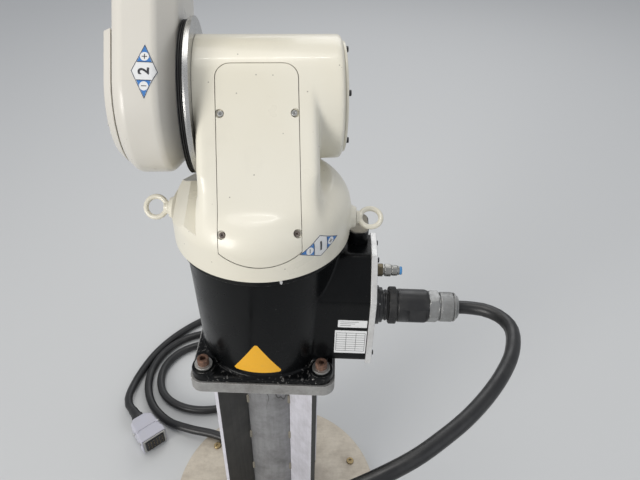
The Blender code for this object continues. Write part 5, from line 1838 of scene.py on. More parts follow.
@dataclass
class Turret(SubAssembly):
    """What joint 1 turns: the casting with its cover, ring, end cap, eye bolts and sticker."""

    bottom: float = 194.5 * MM
    bell_radius: float = 110.7 * MM
    bell_shoulder: float = 34 * MM
    bell_round: float = 36 * MM
    trunk_left: float = -70 * MM
    trunk_right: float = 69 * MM
    trunk_lean: float = math.radians(37.4)
    trunk_edge: float = 9 * MM
    front_lean: float = math.radians(28.9)
    trunk_sink: float = 4.5 * MM
    trunk_fade: float = math.radians(14)
    shoulder_radius: float = 74.6 * MM
    shoulder_left: float = -72 * MM
    shoulder_right: float = 100 * MM
    shoulder_edge: float = 5.1 * MM
    cap_radius: float = 67 * MM
    cap_thickness: float = 3.5 * MM
    cap_screw_circle: float = 61 * MM
    ring_radius: float = 95 * MM
    ring_thickness: float = 7 * MM
    ring_step: float = 3 * MM
    ring_lip: float = 5 * MM
    clearance: float = 6 * MM
    far: float = 400 * MM
    swing_back: float = math.radians(100)
    cover_width: float = 92 * MM
    cover_corner: float = 17 * MM
    cover_rise: float = 21 * MM
    cover_thickness: float = 6 * MM
    cover_groove: float = 0.8 * MM
    cover_length: float = 228 * MM
    cover_side: float = 211 * MM
    recess_radius: float = 5 * MM
    recess_inset: float = 4 * MM
    recess_depth: float = 3.4 * MM
    screw_inset: float = 5 * MM
    recesses: tuple[float, float] = (56.5 * MM, 191 * MM)
    run_out_low: float = 230 * MM
    run_out_high: float = 296 * MM
    run_out_front: float = -30 * MM
    run_out_half: float = 86 * MM
    run_out_passes: int = 160
    eye_turn: float = math.radians(-7)
    eye_rise: float = 20.5 * MM
    eye_radius: float = 13.2 * MM
    eye_wire: float = 3.3 * MM
    boss_radius: float = 14 * MM
    boss_reach: float = 118 * MM

    def shoulder(self) -> Pair:
        """Gives joint 2's place across the turret's X axis."""
        return (self.arm.shoulder_offset, self.arm.shoulder_height)

    def trunk_outline(self) -> Outline:
        """Gives the trunk's side view.

        Returns:
            The outline across the turret's X axis.
        """
        centre, radius, back = self.shoulder(), self.shoulder_radius, math.pi - self.trunk_lean
        touch, front = arc(centre, radius, back, -self.front_lean, 1)
        low = self.bottom + self.bell_shoulder - self.trunk_sink
        foot = (touch[0] - (touch[1] - low) * math.tan(self.trunk_lean), low)
        front_foot = (front[0] - (front[1] - low) * math.tan(self.front_lean), low)
        return [foot, front_foot] + arc(centre, radius, -self.front_lean, back, 40)

    def cover_frame(self) -> tuple[Vector, Vector, Vector]:
        """Gives the cover's top point and the directions down along it and out of it.

        Returns:
            The point, the way down and the way out.
        """
        back = math.pi - self.trunk_lean
        down = Vector((0, -math.sin(self.trunk_lean), -math.cos(self.trunk_lean)))
        out = Vector((0, math.cos(back), math.sin(back)))
        touch = Vector((0, *self.shoulder())) + out * self.shoulder_radius
        return touch - down * self.cover_rise, down, out

    def cover_prism(self, name: str, grow: float, low: float) -> Piece:
        """Makes a block with the cover's outline.

        Args:
            name: the block's name.
            grow: how much wider than the cover it is, on every side.
            low: its low end's height over the cover's flat; its other end is well above.

        Returns:
            The block.
        """
        top, down, out = self.cover_frame()
        half, corner = self.cover_width / 2, self.cover_corner
        outline = arc((half - corner, corner), corner + grow, 0, -math.pi / 2, 14)
        outline += [(-u, v) for u, v in reversed(outline)]
        sag = self.cover_length - self.cover_side
        radius = (half ** 2 + sag ** 2) / (2 * sag)
        spread = math.asin(half / radius)
        outline += arc((0, self.cover_length - radius), radius + grow, math.pi / 2 + spread,
                       math.pi / 2 - spread, 40)
        return loft(name, [[top + Vector((u, 0, 0)) + down * v + out * height for u, v in outline]
                           for height in (low, self.cover_length / 2)])

    def trunk(self) -> Piece:
        """Makes the leaning trunk, whose lower corners run out on the bell.

        Returns:
            The trunk.
        """
        trunk = soften(prism("trunk", self.trunk_outline(), "X", self.trunk_left, self.trunk_right),
                       self.trunk_edge, 6, math.radians(60))
        low = self.bottom + self.bell_shoulder
        high = self.arm.shoulder_height + 2 * self.shoulder_radius
        wide, over = self.bell_radius - 0.5 * MM, 0.5 * MM
        narrow = wide - (high - low) * math.tan(self.trunk_fade)
        guard = turned("guard", [(0, 0), (wide, 0), (wide, low), (narrow, high), (0, high)], "Z", 128)
        far = 2 * self.bell_radius
        outline = [(-far, -over), (far, -over), (far, far), (-far, far)]
        ahead = prism("ahead", outline, "Z", -over, high + over)
        return combine(trunk, combine(guard, ahead, operation="UNION"), operation="INTERSECT")

    def skin(self) -> Piece:
        """Makes bell, trunk, barrel and bosses as one skin with soft fillets.

        Returns:
            The casting before its cuts.
        """
        round_centre = (self.bell_radius - self.bell_round, self.bottom + self.bell_shoulder)
        crown = arc(round_centre, self.bell_round, 0, math.pi / 2, 24)
        over = 8 * MM
        bell = turned("bell", [(0, self.bottom - over), (self.bell_radius, self.bottom - over)] + crown
                      + [(0, crown[-1][1])], "Z", 160)
        barrel = rounded_disc("barrel", self.shoulder_radius, self.shoulder_left - over, self.shoulder_right,
                              "X", 144, self.shoulder_edge, 5, self.shoulder())
        parts = [bell, self.trunk(), barrel]
        for side in (0, math.pi):
            profile = disc(self.boss_radius, self.bell_radius / 2, self.boss_reach, 1.5 * MM)
            boss = turned("boss", profile, "X", 64, (0, self.bottom + self.eye_rise))
            parts.append(place(boss, Matrix.Rotation(side + self.eye_turn, 4, "Z")))
        return self.run_out(cast("turret_skin", parts, 2.0 * MM, 9))

    def run_out(self, skin: Piece) -> Piece:
        """Lets the trunk's front run out smoothly on the bell's crown.

        Args:
            skin: the casting.

        Returns:
            The casting.
        """
        group = skin.vertex_groups.new(name="run_out")
        for vertex in skin.data.vertices:
            x, y, z = vertex.co
            weight = min((z - self.run_out_low) / (12 * MM), (self.run_out_high - z) / (12 * MM),
                         (self.run_out_front - y) / (25 * MM), (self.run_out_half - abs(x)) / (20 * MM), 1.0)
            if weight > 0:
                group.add([vertex.index], weight, "REPLACE")
        smooth = skin.modifiers.new("run_out", "SMOOTH")
        smooth.vertex_group = "run_out"
        smooth.factor = 0.5
        smooth.iterations = self.run_out_passes
        bake(skin)
        skin.vertex_groups.clear()
        return skin

    def leaned_link(self) -> Piece:
        """Makes the room that the link needs when it leans back as far as it goes.

        Returns:
            The cutter.
        """
        link = Link(self.repeats, self.arm)
        face = self.shoulder_left - self.ring_thickness - 8.1 * MM
        inset = link.chamfer - self.clearance * math.sqrt(2)
        levels = ((inset, self.shoulder_left), (inset, face),
                  (-self.clearance, face - inset - self.clearance), (-self.clearance, -self.far))
        turn = Matrix.Translation((0, *self.shoulder())) @ Matrix.Rotation(self.swing_back, 4, "X")
        return place(loft("lean", [link.section(*level) for level in levels]), turn)

    def cut(self, skin: Piece) -> Piece:
        """Cuts the machined faces and the room of the moving pieces with crisp edges.

        Args:
            skin: the casting.

        Returns:
            The casting.
        """
        rooms = ((self.ring_radius, -self.far, self.shoulder_left),
                 (self.cap_radius, self.shoulder_right, self.far))
        swing, cap = [turned("room", disc(radius + self.clearance, low, high), "X", 128, self.shoulder())
                      for radius, low, high in rooms]
        return combine(skin, swing, self.leaned_link(), cap, slab(self.far, "Z", -self.far, self.bottom))

    def castings(self) -> Piece:
        """Makes the casting with the cover's pocket, and the cover with its sunk screws.

        Returns:
            The casting.
        """
        casting = self.cut(self.skin())
        cover = self.cover_prism("turret_lid", 0, GAP - self.cover_thickness)
        combine(cover, linked("skin", casting.data.copy()), operation="INTERSECT")
        combine(casting, self.cover_prism("pocket", self.cover_groove, -self.cover_thickness))
        top, down, out = self.cover_frame()
        turn, across, surface = self.arm.turret(), Vector((1, 0, 0)), surface_of(cover)
        spots: list[list[Vector]] = [[], []]
        for side in (-1, 1):
            for row, along in enumerate(self.recesses):
                spot = top + across * side * (self.cover_width / 2 - self.screw_inset) + down * along
                floor = self.cover_length - surface.ray_cast(spot + out * self.cover_length, -out)[3]
                floor -= self.recess_depth
                spots[row].append(spot + out * floor)
                cutter = turned("recess", disc(self.recess_radius, floor, self.cover_length / 2), "Z", 40)
                centre = top + across * side * (self.cover_width / 2 - self.recess_inset) + down * along
                combine(cover, place(cutter, plane(centre, across, out)))
        for row, (label, finish) in enumerate((("upper", Finish.ZINC), ("lower", Finish.BROWN_SCREW))):
            self.set_screws(f"cover_screws_{label}", (3.5, 2.9, 1.8), on_points(turn, out, spots[row]),
                            finish, Body.TURRET, 3)
        casting.name = "turret_cast"
        for obj, node in ((casting, "turret_casting"), (cover, "turret_cover")):
            dressed(place(obj, turn), Finish.CREAM, Body.TURRET, Slot.CREAM, node)
        return casting

    def shoulder_parts(self) -> None:
        """Makes the end cap with its six black screws, and the machined ring."""
        turn, centre = self.arm.turret(), self.shoulder()
        low, high = self.shoulder_right + GAP, self.shoulder_right + GAP + self.cap_thickness
        cap = rounded_disc("shoulder_cap_plate", self.cap_radius, low, high, "X", 128, 1.0 * MM, 3, centre)
        dressed(place(cap, turn), Finish.CREAM, Body.TURRET, Slot.CREAM, "shoulder_end_cap")
        places = on_circle(turn, "X", self.cap_screw_circle, high - 0.1 * MM, 6, math.radians(32), centre)
        self.set_screws("end_cap_screws", (3.6, 3.2, 1.8), places, Finish.BLACK_SCREW, Body.TURRET, 8)
        right = self.shoulder_left - GAP
        left, step = right - self.ring_thickness, right - self.ring_lip
        wide, narrow = self.ring_radius, self.ring_radius - self.ring_step
        profile = [(0, left), (narrow, left), (narrow, step), (wide, step), (wide, right), (0, right)]
        ring = soften(turned("shoulder_ring_machined", profile, "X", 144, centre), 0.5 * MM)
        dressed(place(ring, turn), Finish.MACHINED, Body.TURRET, Slot.ALUMINIUM, "shoulder_ring")

    def eye_ring(self, middle: float) -> Piece:
        """Makes a lifting eye's ring, which stands upright about a middle on the X axis.

        Args:
            middle: the ring's middle on the X axis.

        Returns:
            The ring.
        """
        steps, facets = 72, 20
        bm = bmesh.new()
        rings = []
        for angle in (math.tau * index / steps for index in range(steps)):
            reaches = [(self.eye_radius + self.eye_wire * math.cos(turn), self.eye_wire * math.sin(turn))
                       for turn in (math.tau * step / facets for step in range(facets))]
            rings.append([bm.verts.new((middle + reach * math.cos(angle), side, reach * math.sin(angle)))
                          for reach, side in reaches])
        for low, high in zip(rings, rings[1:] + rings[:1]):
            for step in range(facets):
                after = (step + 1) % facets
                bm.faces.new((low[step], low[after], high[after], high[step]))
        return new_object("eye", bm)

    def eyes(self) -> None:
        """Makes the two painted lifting eyes."""
        seat = self.boss_reach + GAP
        for name, side, tilt in (("right", 0.0, math.radians(-65)), ("left", math.pi, math.radians(40))):
            parts = [self.eye_ring(seat + 2.5 * MM + self.eye_radius + self.eye_wire / 2),
                     rounded_disc("collar", 8.5 * MM, seat - 1 * MM, seat + 2.6 * MM, "X", 48, 0.8 * MM),
                     turned("neck", disc(5.6 * MM, seat, seat + 7 * MM), "X", 48)]
            whole = combine(cast(f"lifting_eye_{name}", parts, 0.7 * MM, 5), slab(40 * MM, "X", 0.0, seat))
            place(whole, self.arm.turret() @ Matrix.Translation((0, 0, self.bottom + self.eye_rise))
                  @ Matrix.Rotation(side + self.eye_turn, 4, "Z") @ Matrix.Rotation(tilt, 4, "X"))
            dressed(whole, Finish.CREAM, Body.TURRET, Slot.CREAM, f"eye_bolt_{name}")

    def build(self) -> None:
        """Builds what joint 1 turns."""
        casting = self.castings()
        self.shoulder_parts()
        self.eyes()
        centre, normal = Vector((75.5, -80.9, 678.9)) * MM, Vector((0.66, -0.745, 0.09)).normalized()
        lay_axis_label("1", plane(centre, Vector((0.745, 0.66, 0.0)), normal), casting, 58 * MM, Body.TURRET)


@dataclass
class Link(SubAssembly):
    """What joint 2 turns: the link's casting with its seal, hub cover and sticker."""

    foot_radius: float = 89 * MM
    head_radius: float = 74 * MM
    chamfer: float = 22 * MM
    flat: float = 38 * MM
    cover_thickness: float = 11 * MM
    cover_top: float = 60 * MM
    cover_screws: tuple[Pair, ...] = ((-52, 34), (52, 34), (-46, -40), (46, -40), (0, -60))
    cover_face: float = -169.3 * MM
    face: float = -87.1 * MM
    seal_right: float = -79.8 * MM
    seal_left: float = -86.8 * MM
    seal_radius: float = 91 * MM
    seal_groove: float = 2.5 * MM
    seal_ribs: int = 3

    def section(self, inset: float, along: float) -> list[Vector]:
        """Gives the link's outline, drawn in by an inset.

        Args:
            inset: how far it is drawn in.
            along: where it stands along the shoulder's axis.

        Returns:
            The outline's points.
        """
        outline = tapered_outline(self.foot_radius - inset, self.head_radius - inset, self.arm.link_length,
                                  192)
        return [on_axis("X", u, v, along) for u, v in outline]

    def cover_section(self, inset: float, along: float) -> list[Vector]:
        """Gives the hub cover's outline: the link's round foot with a straight top edge.

        Args:
            inset: how far it is drawn in.
            along: where it stands on its axis.

        Returns:
            The points.
        """
        radius = self.foot_radius - inset
        lean = math.asin((self.foot_radius - self.head_radius) / self.arm.link_length)
        rise = self.cover_top - radius * math.sin(lean)
        right = radius * math.cos(lean) - rise * math.tan(lean)
        outline = [(right, self.cover_top), (-right, self.cover_top)]
        outline += arc((0, 0), radius, math.pi - lean, math.tau + lean, 96)
        return [on_axis("X", u, v, along) for u, v in outline]

    def seal(self) -> None:
        """Makes the black ribbed seal."""
        pitch = (self.seal_right - self.seal_left) / (2 * self.seal_ribs)
        valley, flank = self.seal_radius - self.seal_groove, self.seal_radius - 0.4 * MM
        profile = [(0.0, self.seal_left), (valley, self.seal_left)]
        for index in range(self.seal_ribs):
            low = self.seal_left + (2 * index + 0.35) * pitch
            profile += [(valley, low), (flank, low + 0.2 * pitch), (self.seal_radius, low + 0.6 * pitch),
                        (flank, low + 1.1 * pitch), (valley, low + 1.3 * pitch)]
        profile += [(valley, self.seal_right), (0.0, self.seal_right)]
        seal = place(turned("link_seal_ribbed", profile, "X", 144), self.arm.link())
        dressed(seal, Finish.RUBBER, Body.LINK, Slot.RUBBER, "link_seal")

    def castings(self) -> Piece:
        """Makes the casting and its hub cover, with rounded edges and a shallow dimple.

        Returns:
            The link's casting.
        """
        flat_start = self.face - self.chamfer
        flat_end = flat_start - self.flat
        inset = self.chamfer - self.cover_thickness
        outer = flat_end - inset
        levels = ((self.chamfer, self.face), (0, flat_start), (0, flat_end), (inset, outer))
        casting = loft("link_cast", [self.section(*level) for level in levels])
        soften(casting, 5 * MM, 5, math.radians(25))
        top = outer - GAP - self.cover_thickness
        cover = loft("link_hub_cover", [self.cover_section(*level)
                                        for level in ((inset, outer - GAP), (self.chamfer, top))])
        soften(cover, 2.2 * MM, 4, math.radians(25))
        dimple = turned("dimple", disc(40 * MM, -2 * MM, 2 * MM, 1.9 * MM), "X", 64)
        place(dimple, Matrix.Diagonal((1, 0.16, 0.26, 1)))
        combine(cover, place(dimple, Matrix.Translation((top, -6 * MM, 14 * MM))))
        # The link's castings take the greyer cream that also carries painted shade.
        for obj, node in ((casting, "link_casting"), (cover, "link_cover")):
            dressed(place(obj, self.arm.link()), Finish.CREAM_LINK_SHADED, Body.LINK, Slot.CREAM, node)
        return casting

    def build(self) -> None:
        """Builds the link, with five screws sunk in its hub cover."""
        self.seal()
        casting = self.castings()
        places = on_points(self.arm.link(), Vector((-1, 0, 0)),
                           [Vector((self.cover_face, y * MM, z * MM)) for y, z in self.cover_screws])
        self.set_screws("hub_cover_screws", (3.2, 1.6, 1.7), places, Finish.ZINC, Body.LINK, 12)
        centre, normal = Vector((-119.9, -1.2, 847)) * MM, Vector((0.066, -0.75, 0.658)).normalized()
        lay_axis_label("2", plane(centre, Vector((-0.7, 35.5, 47.2)), normal), casting, 59 * MM, Body.LINK)


@dataclass
class Elbow(SubAssembly):
    """What joint 3 turns: the elbow housing with its seal, caps and roll ring."""

    radius: float = 62 * MM
    left: float = -79.3 * MM
    right: float = 44 * MM
    chamfer: float = 16 * MM
    half_height: float = 48 * MM
    rear: float = 13 * MM
    rear_corner: float = 50 * MM
    nose: float = 105 * MM
    seal_radius: float = 58 * MM
    seal_thickness: float = 7 * MM
    cap_radius: float = 42 * MM
    cap_thickness: float = 5 * MM
    cap_screw_circle: float = 35 * MM
    ring_radius: float = 41 * MM
    ring_thickness: float = 6 * MM
    rear_cap_size: Point = (72 * MM, 76 * MM, 7 * MM)
    rear_cap_screws: Pair = (28 * MM, 30 * MM)

    def back(self, inset: float) -> tuple[Pair, float, float]:
        """Gives the rear corner's centre and radius, and the way that the sloping back faces.

        Args:
            inset: how far it is drawn in.

        Returns:
            The centre, the radius and the angle.
        """
        hub, corner = self.radius - inset, self.rear_corner - inset / 2
        centre = (corner + inset - self.rear, self.arm.forearm_offset + self.half_height - inset - corner)
        slope = math.atan2(centre[1], centre[0]) + math.acos((hub - corner) / math.hypot(*centre))
        return centre, corner, slope

    def section(self, inset: float, along: float) -> list[Vector]:
        """Gives the housing's side view, drawn in by an inset.

        Args:
            inset: how far it is drawn in.
            along: where it stands on its axis.

        Returns:
            The points.
        """
        hub = self.radius - inset
        centre, corner, slope = self.back(inset)
        nose_low = self.arm.forearm_offset - self.half_height + inset
        belly = tangent_angle((0, 0), hub, (self.nose, nose_low), -1)
        outline = arc(centre, corner, math.pi / 2, slope, 24) + arc((0, 0), hub, slope, math.tau + belly, 64)
        outline += [(self.nose, nose_low), (self.nose, centre[1] + corner)]
        return [on_axis("X", u, v, along) for u, v in outline]

    def build(self) -> None:
        """Builds the elbow."""
        turn = self.arm.elbow()
        seal = rounded_disc("elbow_seal_rubber", self.seal_radius, self.left - GAP - self.seal_thickness,
                            self.left - GAP, "X", 128, 1.2 * MM, 3)
        dressed(place(seal, turn), Finish.RUBBER, Body.ELBOW, Slot.RUBBER, "elbow_seal")
        levels = ((self.chamfer, self.left), (0, self.left + self.chamfer), (0, self.right - self.chamfer),
                  (self.chamfer, self.right))
        housing = soften(loft("elbow_cast", [self.section(*level) for level in levels]), 4 * MM, 4,
                         math.radians(25))
        dressed(place(housing, turn), Finish.CREAM, Body.ELBOW, Slot.CREAM, "elbow_housing")
        low, high = self.right + GAP, self.right + GAP + self.cap_thickness
        cap = rounded_disc("elbow_cap_plate", self.cap_radius, low, high, "X", 128, 1.5 * MM, 3)
        dressed(place(cap, turn), Finish.CREAM, Body.ELBOW, Slot.CREAM, "elbow_side_cap")
        places = on_circle(turn, "X", self.cap_screw_circle, high - 0.2 * MM, 6, math.radians(30))
        self.set_screws("elbow_cap_screws", (3.2, 3, 1.7), places, Finish.BLACK_SCREW, Body.ELBOW, 9)
        self.rear_cap(turn)
        low = self.nose + GAP
        ring = rounded_disc("forearm_seal_ring", self.ring_radius, low, low + self.ring_thickness, "Y", 128,
                            1.2 * MM, 3, (0, self.arm.forearm_offset))
        dressed(place(ring, turn), Finish.RUBBER, Body.ELBOW, Slot.RUBBER, "forearm_ring")

    def rear_cap(self, turn: Matrix) -> None:
        """Makes the cap on the sloping back, with its four screws.

        Args:
            turn: the elbow's frame.
        """
        centre, corner, slope = self.back(0)
        across, out = Vector((1, 0, 0)), Vector((0, math.cos(slope), math.sin(slope)))
        along = Vector((0, out.z, -out.y))
        middle = (out * self.radius + Vector((0, *centre)) + out * corner) / 2
        middle += across * ((self.left + self.right) / 2)
        width, length, high = self.rear_cap_size
        outline = rounded_rectangle(width, length, 14 * MM, steps=12)
        cap = loft("rear_cap_plate", [[middle + across * u + along * v + out * height for u, v in outline]
                                      for height in (GAP, GAP + high)])
        dressed(place(soften(cap, 2 * MM, 4), turn), Finish.CREAM, Body.ELBOW, Slot.CREAM, "forearm_rear_cap")
        wide, long = self.rear_cap_screws
        spots = [middle + across * (u * wide) + along * (v * long) + out * (high + 0.1 * MM)
                 for u in (-1, 1) for v in (-1, 1)]
        self.set_screws("rear_cap_screws", (3.2, 2.6, 1.7), on_points(turn, out, spots), Finish.BLACK_SCREW,
                        Body.ELBOW, 10)


@dataclass
class Forearm(SubAssembly):
    """What the joints 4 to 6 turn: the rolling fork, the wrist and the tool flange."""

    start: float = 111.8 * MM
    tube_radius: float = 42 * MM
    tube_length: float = 38 * MM
    half_width: float = 50 * MM
    half_height: float = 38 * MM
    corner: float = 16 * MM
    gap_half: float = 31 * MM
    throat: float = 65 * MM
    yoke: float = 92 * MM
    cap_radius: float = 30 * MM
    cap_thickness: float = 4.5 * MM
    cap_screw_circle: float = 24 * MM
    wrist_radius: float = 33 * MM
    snout_radius: float = 26 * MM
    snout_length: float = 66 * MM

    def fork(self) -> None:
        """Makes the tube that widens into the fork, as one skin with soft fillets."""
        length, tube = self.arm.forearm_length, 2 * self.tube_radius
        throat = length - self.throat
        small = (tube, tube, self.tube_radius - 0.02 * MM)
        full = (2 * self.half_width, 2 * self.half_height, self.corner)
        levels = ((small, self.start - 4 * MM), (small, self.start + self.tube_length),
                  (full, length - self.yoke), (full, throat + 3 * MM))
        parts = [loft("body", [[on_axis("Y", u, v, along) for u, v in rounded_rectangle(*size, steps=24)]
                               for size, along in levels])]
        root = throat - 6 * MM
        arm = [(root, -self.half_height)]
        arm += arc((length, 0), self.half_height, -math.pi / 2, math.pi / 2, 48) + [(root, self.half_height)]
        parts += [prism("cheek", arm, "X", -self.half_width, -self.gap_half),
                  prism("cheek", arm, "X", self.gap_half, self.half_width)]
        fork = combine(cast("forearm_cast", parts, 1.3 * MM, 6), slab(200 * MM, "Y", -100 * MM, self.start))
        dressed(place(fork, self.arm.roll()), Finish.CREAM, Body.FOREARM, Slot.CREAM, "forearm_fork")

    def caps(self) -> None:
        """Makes the fork's two caps with their screws."""
        bend, low = self.arm.bend(), self.half_width + GAP
        for name, side in (("left", -1), ("right", 1)):
            ends = sorted((side * low, side * (low + self.cap_thickness)))
            cap = rounded_disc(f"fork_cap_plate_{name}", self.cap_radius, *ends, "X", 96, 1.2 * MM, 3)
            dressed(place(cap, bend), Finish.CREAM, Body.FOREARM, Slot.CREAM, f"fork_cap_{name}")
            along = side * (low + self.cap_thickness - 0.2 * MM)
            places = on_circle(bend, "X", self.cap_screw_circle, along, 4, math.radians(45))
            self.set_screws(f"fork_cap_screws_{name}", (2.6, 2.4, 1.4), places, Finish.BLACK_SCREW,
                            Body.FOREARM, 11)

    def wrist(self) -> None:
        """Makes the wrist's body as one skin, and dresses the tool flange."""
        half = self.gap_half - 0.5 * MM
        parts = [rounded_disc("drum", self.wrist_radius, -half, half, "X", 96, 2 * MM, 3),
                 rounded_disc("snout", self.snout_radius, 0, self.snout_length, "Y", 96, 2 * MM, 3)]
        wrist = place(cast("wrist_cast", parts, 1.0 * MM, 4), self.arm.bend())
        dressed(wrist, Finish.CREAM, Body.WRIST, Slot.CREAM, "wrist_body")
        flange = painted(twin("tool_flange", "tool_flange_ground", 0.3 * MM), Finish.MACHINED)
        ridden(flange, Body.FLANGE, Slot.STEEL, "tool_flange")

    def build(self) -> None:
        """Builds the forearm."""
        self.fork()
        self.caps()
        self.wrist()


@dataclass
class Harness(SubAssembly):
    """The cable that leaves the round plug and lies in loose turns beside the pedestal, with its hood."""

    exit_point: Point = (0.2569, -0.040, 0.552)
    lead: float = 0.011
    diameter: float = 17.5 * MM
    pitch: float = 11.0 * MM
    sides: int = 5
    fine_steps: int = 24
    hood_start: float = 32 * MM
    hood_length: float = 66.3 * MM
    hood_width: float = 54 * MM
    hood_height: float = 40 * MM
    hood_levels: tuple[tuple[float, ...], ...] = ((0, 30, 28, 5), (12, 48, 38, 5), (50, 51, 39, 4),
                                                  (52, 54, 40, 3), (66.3, 54, 40, 3))
    lever: Outline = ((-24, 34), (24, 34), (24, 41), (19, 41), (19, 38), (-19, 38), (-19, 41), (-24, 41))
    contact_columns: int = 6
    contact_rows: int = 4
    contact_pitch: Pair = (6.2 * MM, 5.8 * MM)
    route: tuple[Point, ...] = (
        (291, -47, 555), (309, -65, 559), (315, -92, 563),
        (304, -132, 568), (284, -168, 571), (260, -200, 572), (234, -228, 572), (206, -252, 571),
        (176, -274, 569), (142, -292, 565), (105, -306, 556), (66, -316, 540), (26, -322, 512),
        (-12, -322, 472), (-46, -316, 420), (-72, -304, 360), (-92, -288, 296), (-106, -268, 230),
        (-116, -244, 165), (-120, -216, 104), (-118, -184, 56), (-110, -148, 28), (-98, -108, 19.4),
        (-86, -62, 19.4), (-77, -18, 19.4), (-74, 22, 19.4), (-78, 60, 19.4), (-98, 94, 19.4),
        (-140, 112, 19.4), (-192, 124, 17), (-245, 146, 10), (-288, 184, 9.3), (-312, 234, 9.3),
        (-316, 290, 9.3), (-298, 344, 9.3), (-258, 386, 9.3), (-204, 408, 9.3), (-148, 410, 9.3),
        (-96, 394, 9.3), (-58, 358, 9.3), (-42, 308, 9.3), (-50, 256, 9.3), (-82, 214, 9.3),
        (-128, 188, 9.3), (-180, 178, 9.3), (-228, 186, 9.3), (-268, 212, 9.3), (-288, 252, 9.3),
        (-288, 298, 9.3), (-264, 340, 9.3), (-222, 366, 9.3), (-174, 374, 10), (-126, 372, 18),
        (-82, 382, 28.3), (-40, 400, 27), (4, 426, 20), (22, 464, 12), (4, 502, 9.3),
        (-42, 520, 9.3), (-96, 516, 9.3), (-150, 498, 9.3), (-204, 468, 9.3), (-252, 430, 9.3),
        (-292, 384, 9.3), (-322, 332, 9.3), (-340, 276, 9.3), (-347, 232, 11), (-345, 198, 18),
        (-336, 174, 22.4), (-325, 162, 22.4),
    )

    def centreline(self) -> list[Vector]:
        """Gives evenly spaced points on a smooth curve through the route.

        Returns:
            The points, from the gland to the hood.
        """
        start = Vector(self.exit_point)
        points = [start + Vector((self.lead, 0, 0))] + [Vector(point) * MM for point in self.route[:-1]]
        ends = [2 * points[0] - points[1]] + points + [2 * points[-1] - points[-2]]
        fine = []
        for before, low, high, after in zip(ends, ends[1:], ends[2:], ends[3:]):
            for index in range(self.fine_steps):
                t = index / self.fine_steps
                fine.append((2 * low + (high - before) * t
                             + (2 * before - 5 * low + 4 * high - after) * t ** 2
                             + (3 * low - before - 3 * high + after) * t ** 3) / 2)
        fine.append(points[-1])
        length = sum((b - a).length for a, b in zip(fine, fine[1:]))
        count = round(length / self.pitch)
        step, walked, even = length / count, 0.0, [fine[0]]
        for a, b in zip(fine, fine[1:]):
            part = (b - a).length
            while len(even) < count and walked + part >= step * len(even):
                even.append(a.lerp(b, (step * len(even) - walked) / part))
            walked += part
        return [start] + even + [fine[-1], Vector(self.route[-1]) * MM]

    def cable(self) -> None:
        line = self.centreline()
        curve = bpy.data.curves.new("harness_sheath", "CURVE")
        curve.dimensions = "3D"
        curve.bevel_depth = self.diameter / 2
        curve.bevel_resolution = self.sides
        curve.use_fill_caps = True
        spline = curve.splines.new("POLY")
        spline.points.add(len(line) - 1)
        for target, point in zip(spline.points, line):
            target.co = (*point, 1.0)
        curve.materials.append(Finish.SHEATH.material())
        cable = linked("harness_sheath", curve)
        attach(cable, Body.BASE.value)
        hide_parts("harness_cable")

    def block(self, name: str, inset: float, corner: float, low: float, high: float) -> Piece:
        """Makes a block in the hood's mouth, with all lengths in millimetres.

        Args:
            name: the block's name.
            inset: how much narrower and lower than the hood it is.
            corner: its corners' radius.
            low: where it starts, counted from the mouth.
            high: where it ends.

        Returns:
            The block.
        """
        mouth = self.hood_start + self.hood_length
        outline = rounded_rectangle(self.hood_width - inset * MM, self.hood_height - inset * MM, corner * MM)
        return prism(name, outline, "Y", mouth + low * MM, mouth + high * MM)

    def shell(self) -> Piece:
        """Makes the hood with its locking lever, the cable's relief and the metal rim.

        Returns:
            The hood, which points along Y.
        """
        start = self.hood_start
        body = loft("hood", [[on_axis("Y", u, v, start + along * MM)
                              for u, v in rounded_rectangle(width * MM, height * MM, corner * MM, steps=6)]
                             for along, width, height, corner in self.hood_levels])
        combine(soften(body, 1.2 * MM, 3), self.block("pocket", 5, 2, -6, 9))
        lever = prism("lever", [(u * MM, v * MM) for u, v in self.lever], "Z", 19.0 * MM, 20.6 * MM)
        place(soften(lever, 0.3 * MM), Matrix.Translation((0, start, 0)))
        profile = [(radius * MM, along * MM)
                   for radius, along in ((0, 0.3), (9.4, 0.3), (9.8, 2), (10.6, 20), (12.5, 21))]
        profile += [(12.5 * MM, start + 1 * MM), (0, start + 1 * MM)]
        relief = turned("cable_relief", profile, "Y", 64)
        rim = combine(self.block("rim", 5.6, 2, -5.6, 2.2), self.block("opening", 13, 1.5, -9, 9))
        return joined("harness_hood_shell", [painted(shade(part), finish) for part, finish in (
            (body, Finish.HOOD), (lever, Finish.HOOD), (relief, Finish.PLASTIC),
            (soften(rim, 0.4 * MM), Finish.ZINC))])

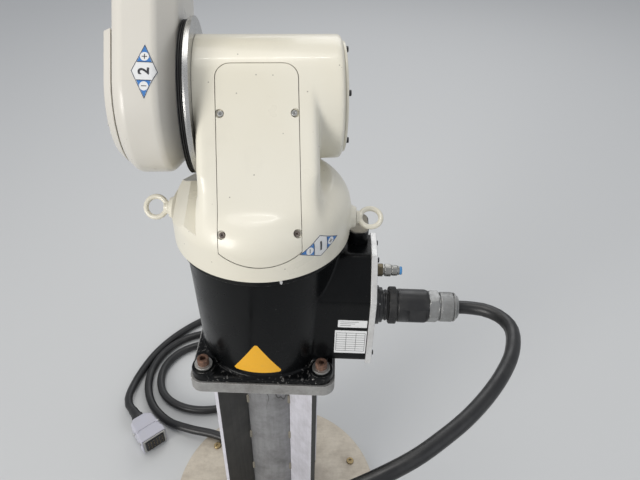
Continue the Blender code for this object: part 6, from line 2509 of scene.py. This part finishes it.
    def hood(self) -> None:
        """Dresses the grey connector hood, with screws, and contacts in its insert."""
        low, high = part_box("harness_hood")
        inner_low, inner_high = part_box("harness_insert")
        ahead = (Vector(inner_low) + Vector(inner_high)) / 2 - (Vector(low) + Vector(high)) / 2
        ahead = Vector((ahead.x, ahead.y, 0)).normalized()
        across, upright = Vector((ahead.y, -ahead.x, 0)), Vector((0, 0, 1))
        seat = plane(self.centreline()[-1], across, upright)
        ridden(place(self.shell(), seat), Body.BASE, Slot.HOOD, "harness_hood")
        mouth = self.hood_start + self.hood_length
        grid = [tuple((index - (count - 1) / 2) * pitch
                      for index, count, pitch in zip(spot, (self.contact_columns, self.contact_rows),
                                                     self.contact_pitch))
                for spot in itertools.product(range(self.contact_columns), range(self.contact_rows))]
        insert = self.block("hood_insert", 14, 1.5, -8, 4.5)
        combine(insert, joined("holes", [turned("hole", disc(1.9 * MM, mouth, mouth + 12 * MM), "Y", 12, spot)
                                         for spot in grid]))
        dressed(place(soften(insert, 0.4 * MM), seat), Finish.PLASTIC, Body.BASE, Slot.PLASTIC,
                "harness_insert")
        places = [(seat @ Vector((u, mouth - 0.1 * MM, v)), ahead, upright) for u, v in grid]
        pin = turned("pin", disc(1.1 * MM, 0, 4.2 * MM, 0.3 * MM), "Z", 12)
        ridden(self.repeats.stand("hood_contacts", pin, places, Finish.BRASS, seed=13), Body.BASE, Slot.STEEL)
        places = [(seat @ Vector((u * 26.6 * MM, self.hood_start + y * MM, 6 * MM)), across * u, ahead)
                  for u in (-1, 1) for y in (30, 58)]
        self.set_screws("hood_screws", (3.2, 2.2, 1.3), places, Finish.ZINC, Body.BASE, 14)

    def build(self) -> None:
        """Builds the hood, and then the cable."""
        self.hood()
        self.cable()


def main() -> None:
    """Builds the studio and every sub-assembly."""
    logging.basicConfig(level=logging.INFO)
    Studio().build()
    repeats, arm = Repeats(), Kinematics()
    for assembly in (Harness, Pedestal, BaseHousing, Connectors, Turret, Link, Elbow, Forearm):
        assembly(repeats, arm).build()


if __name__ == "__main__":
    main()
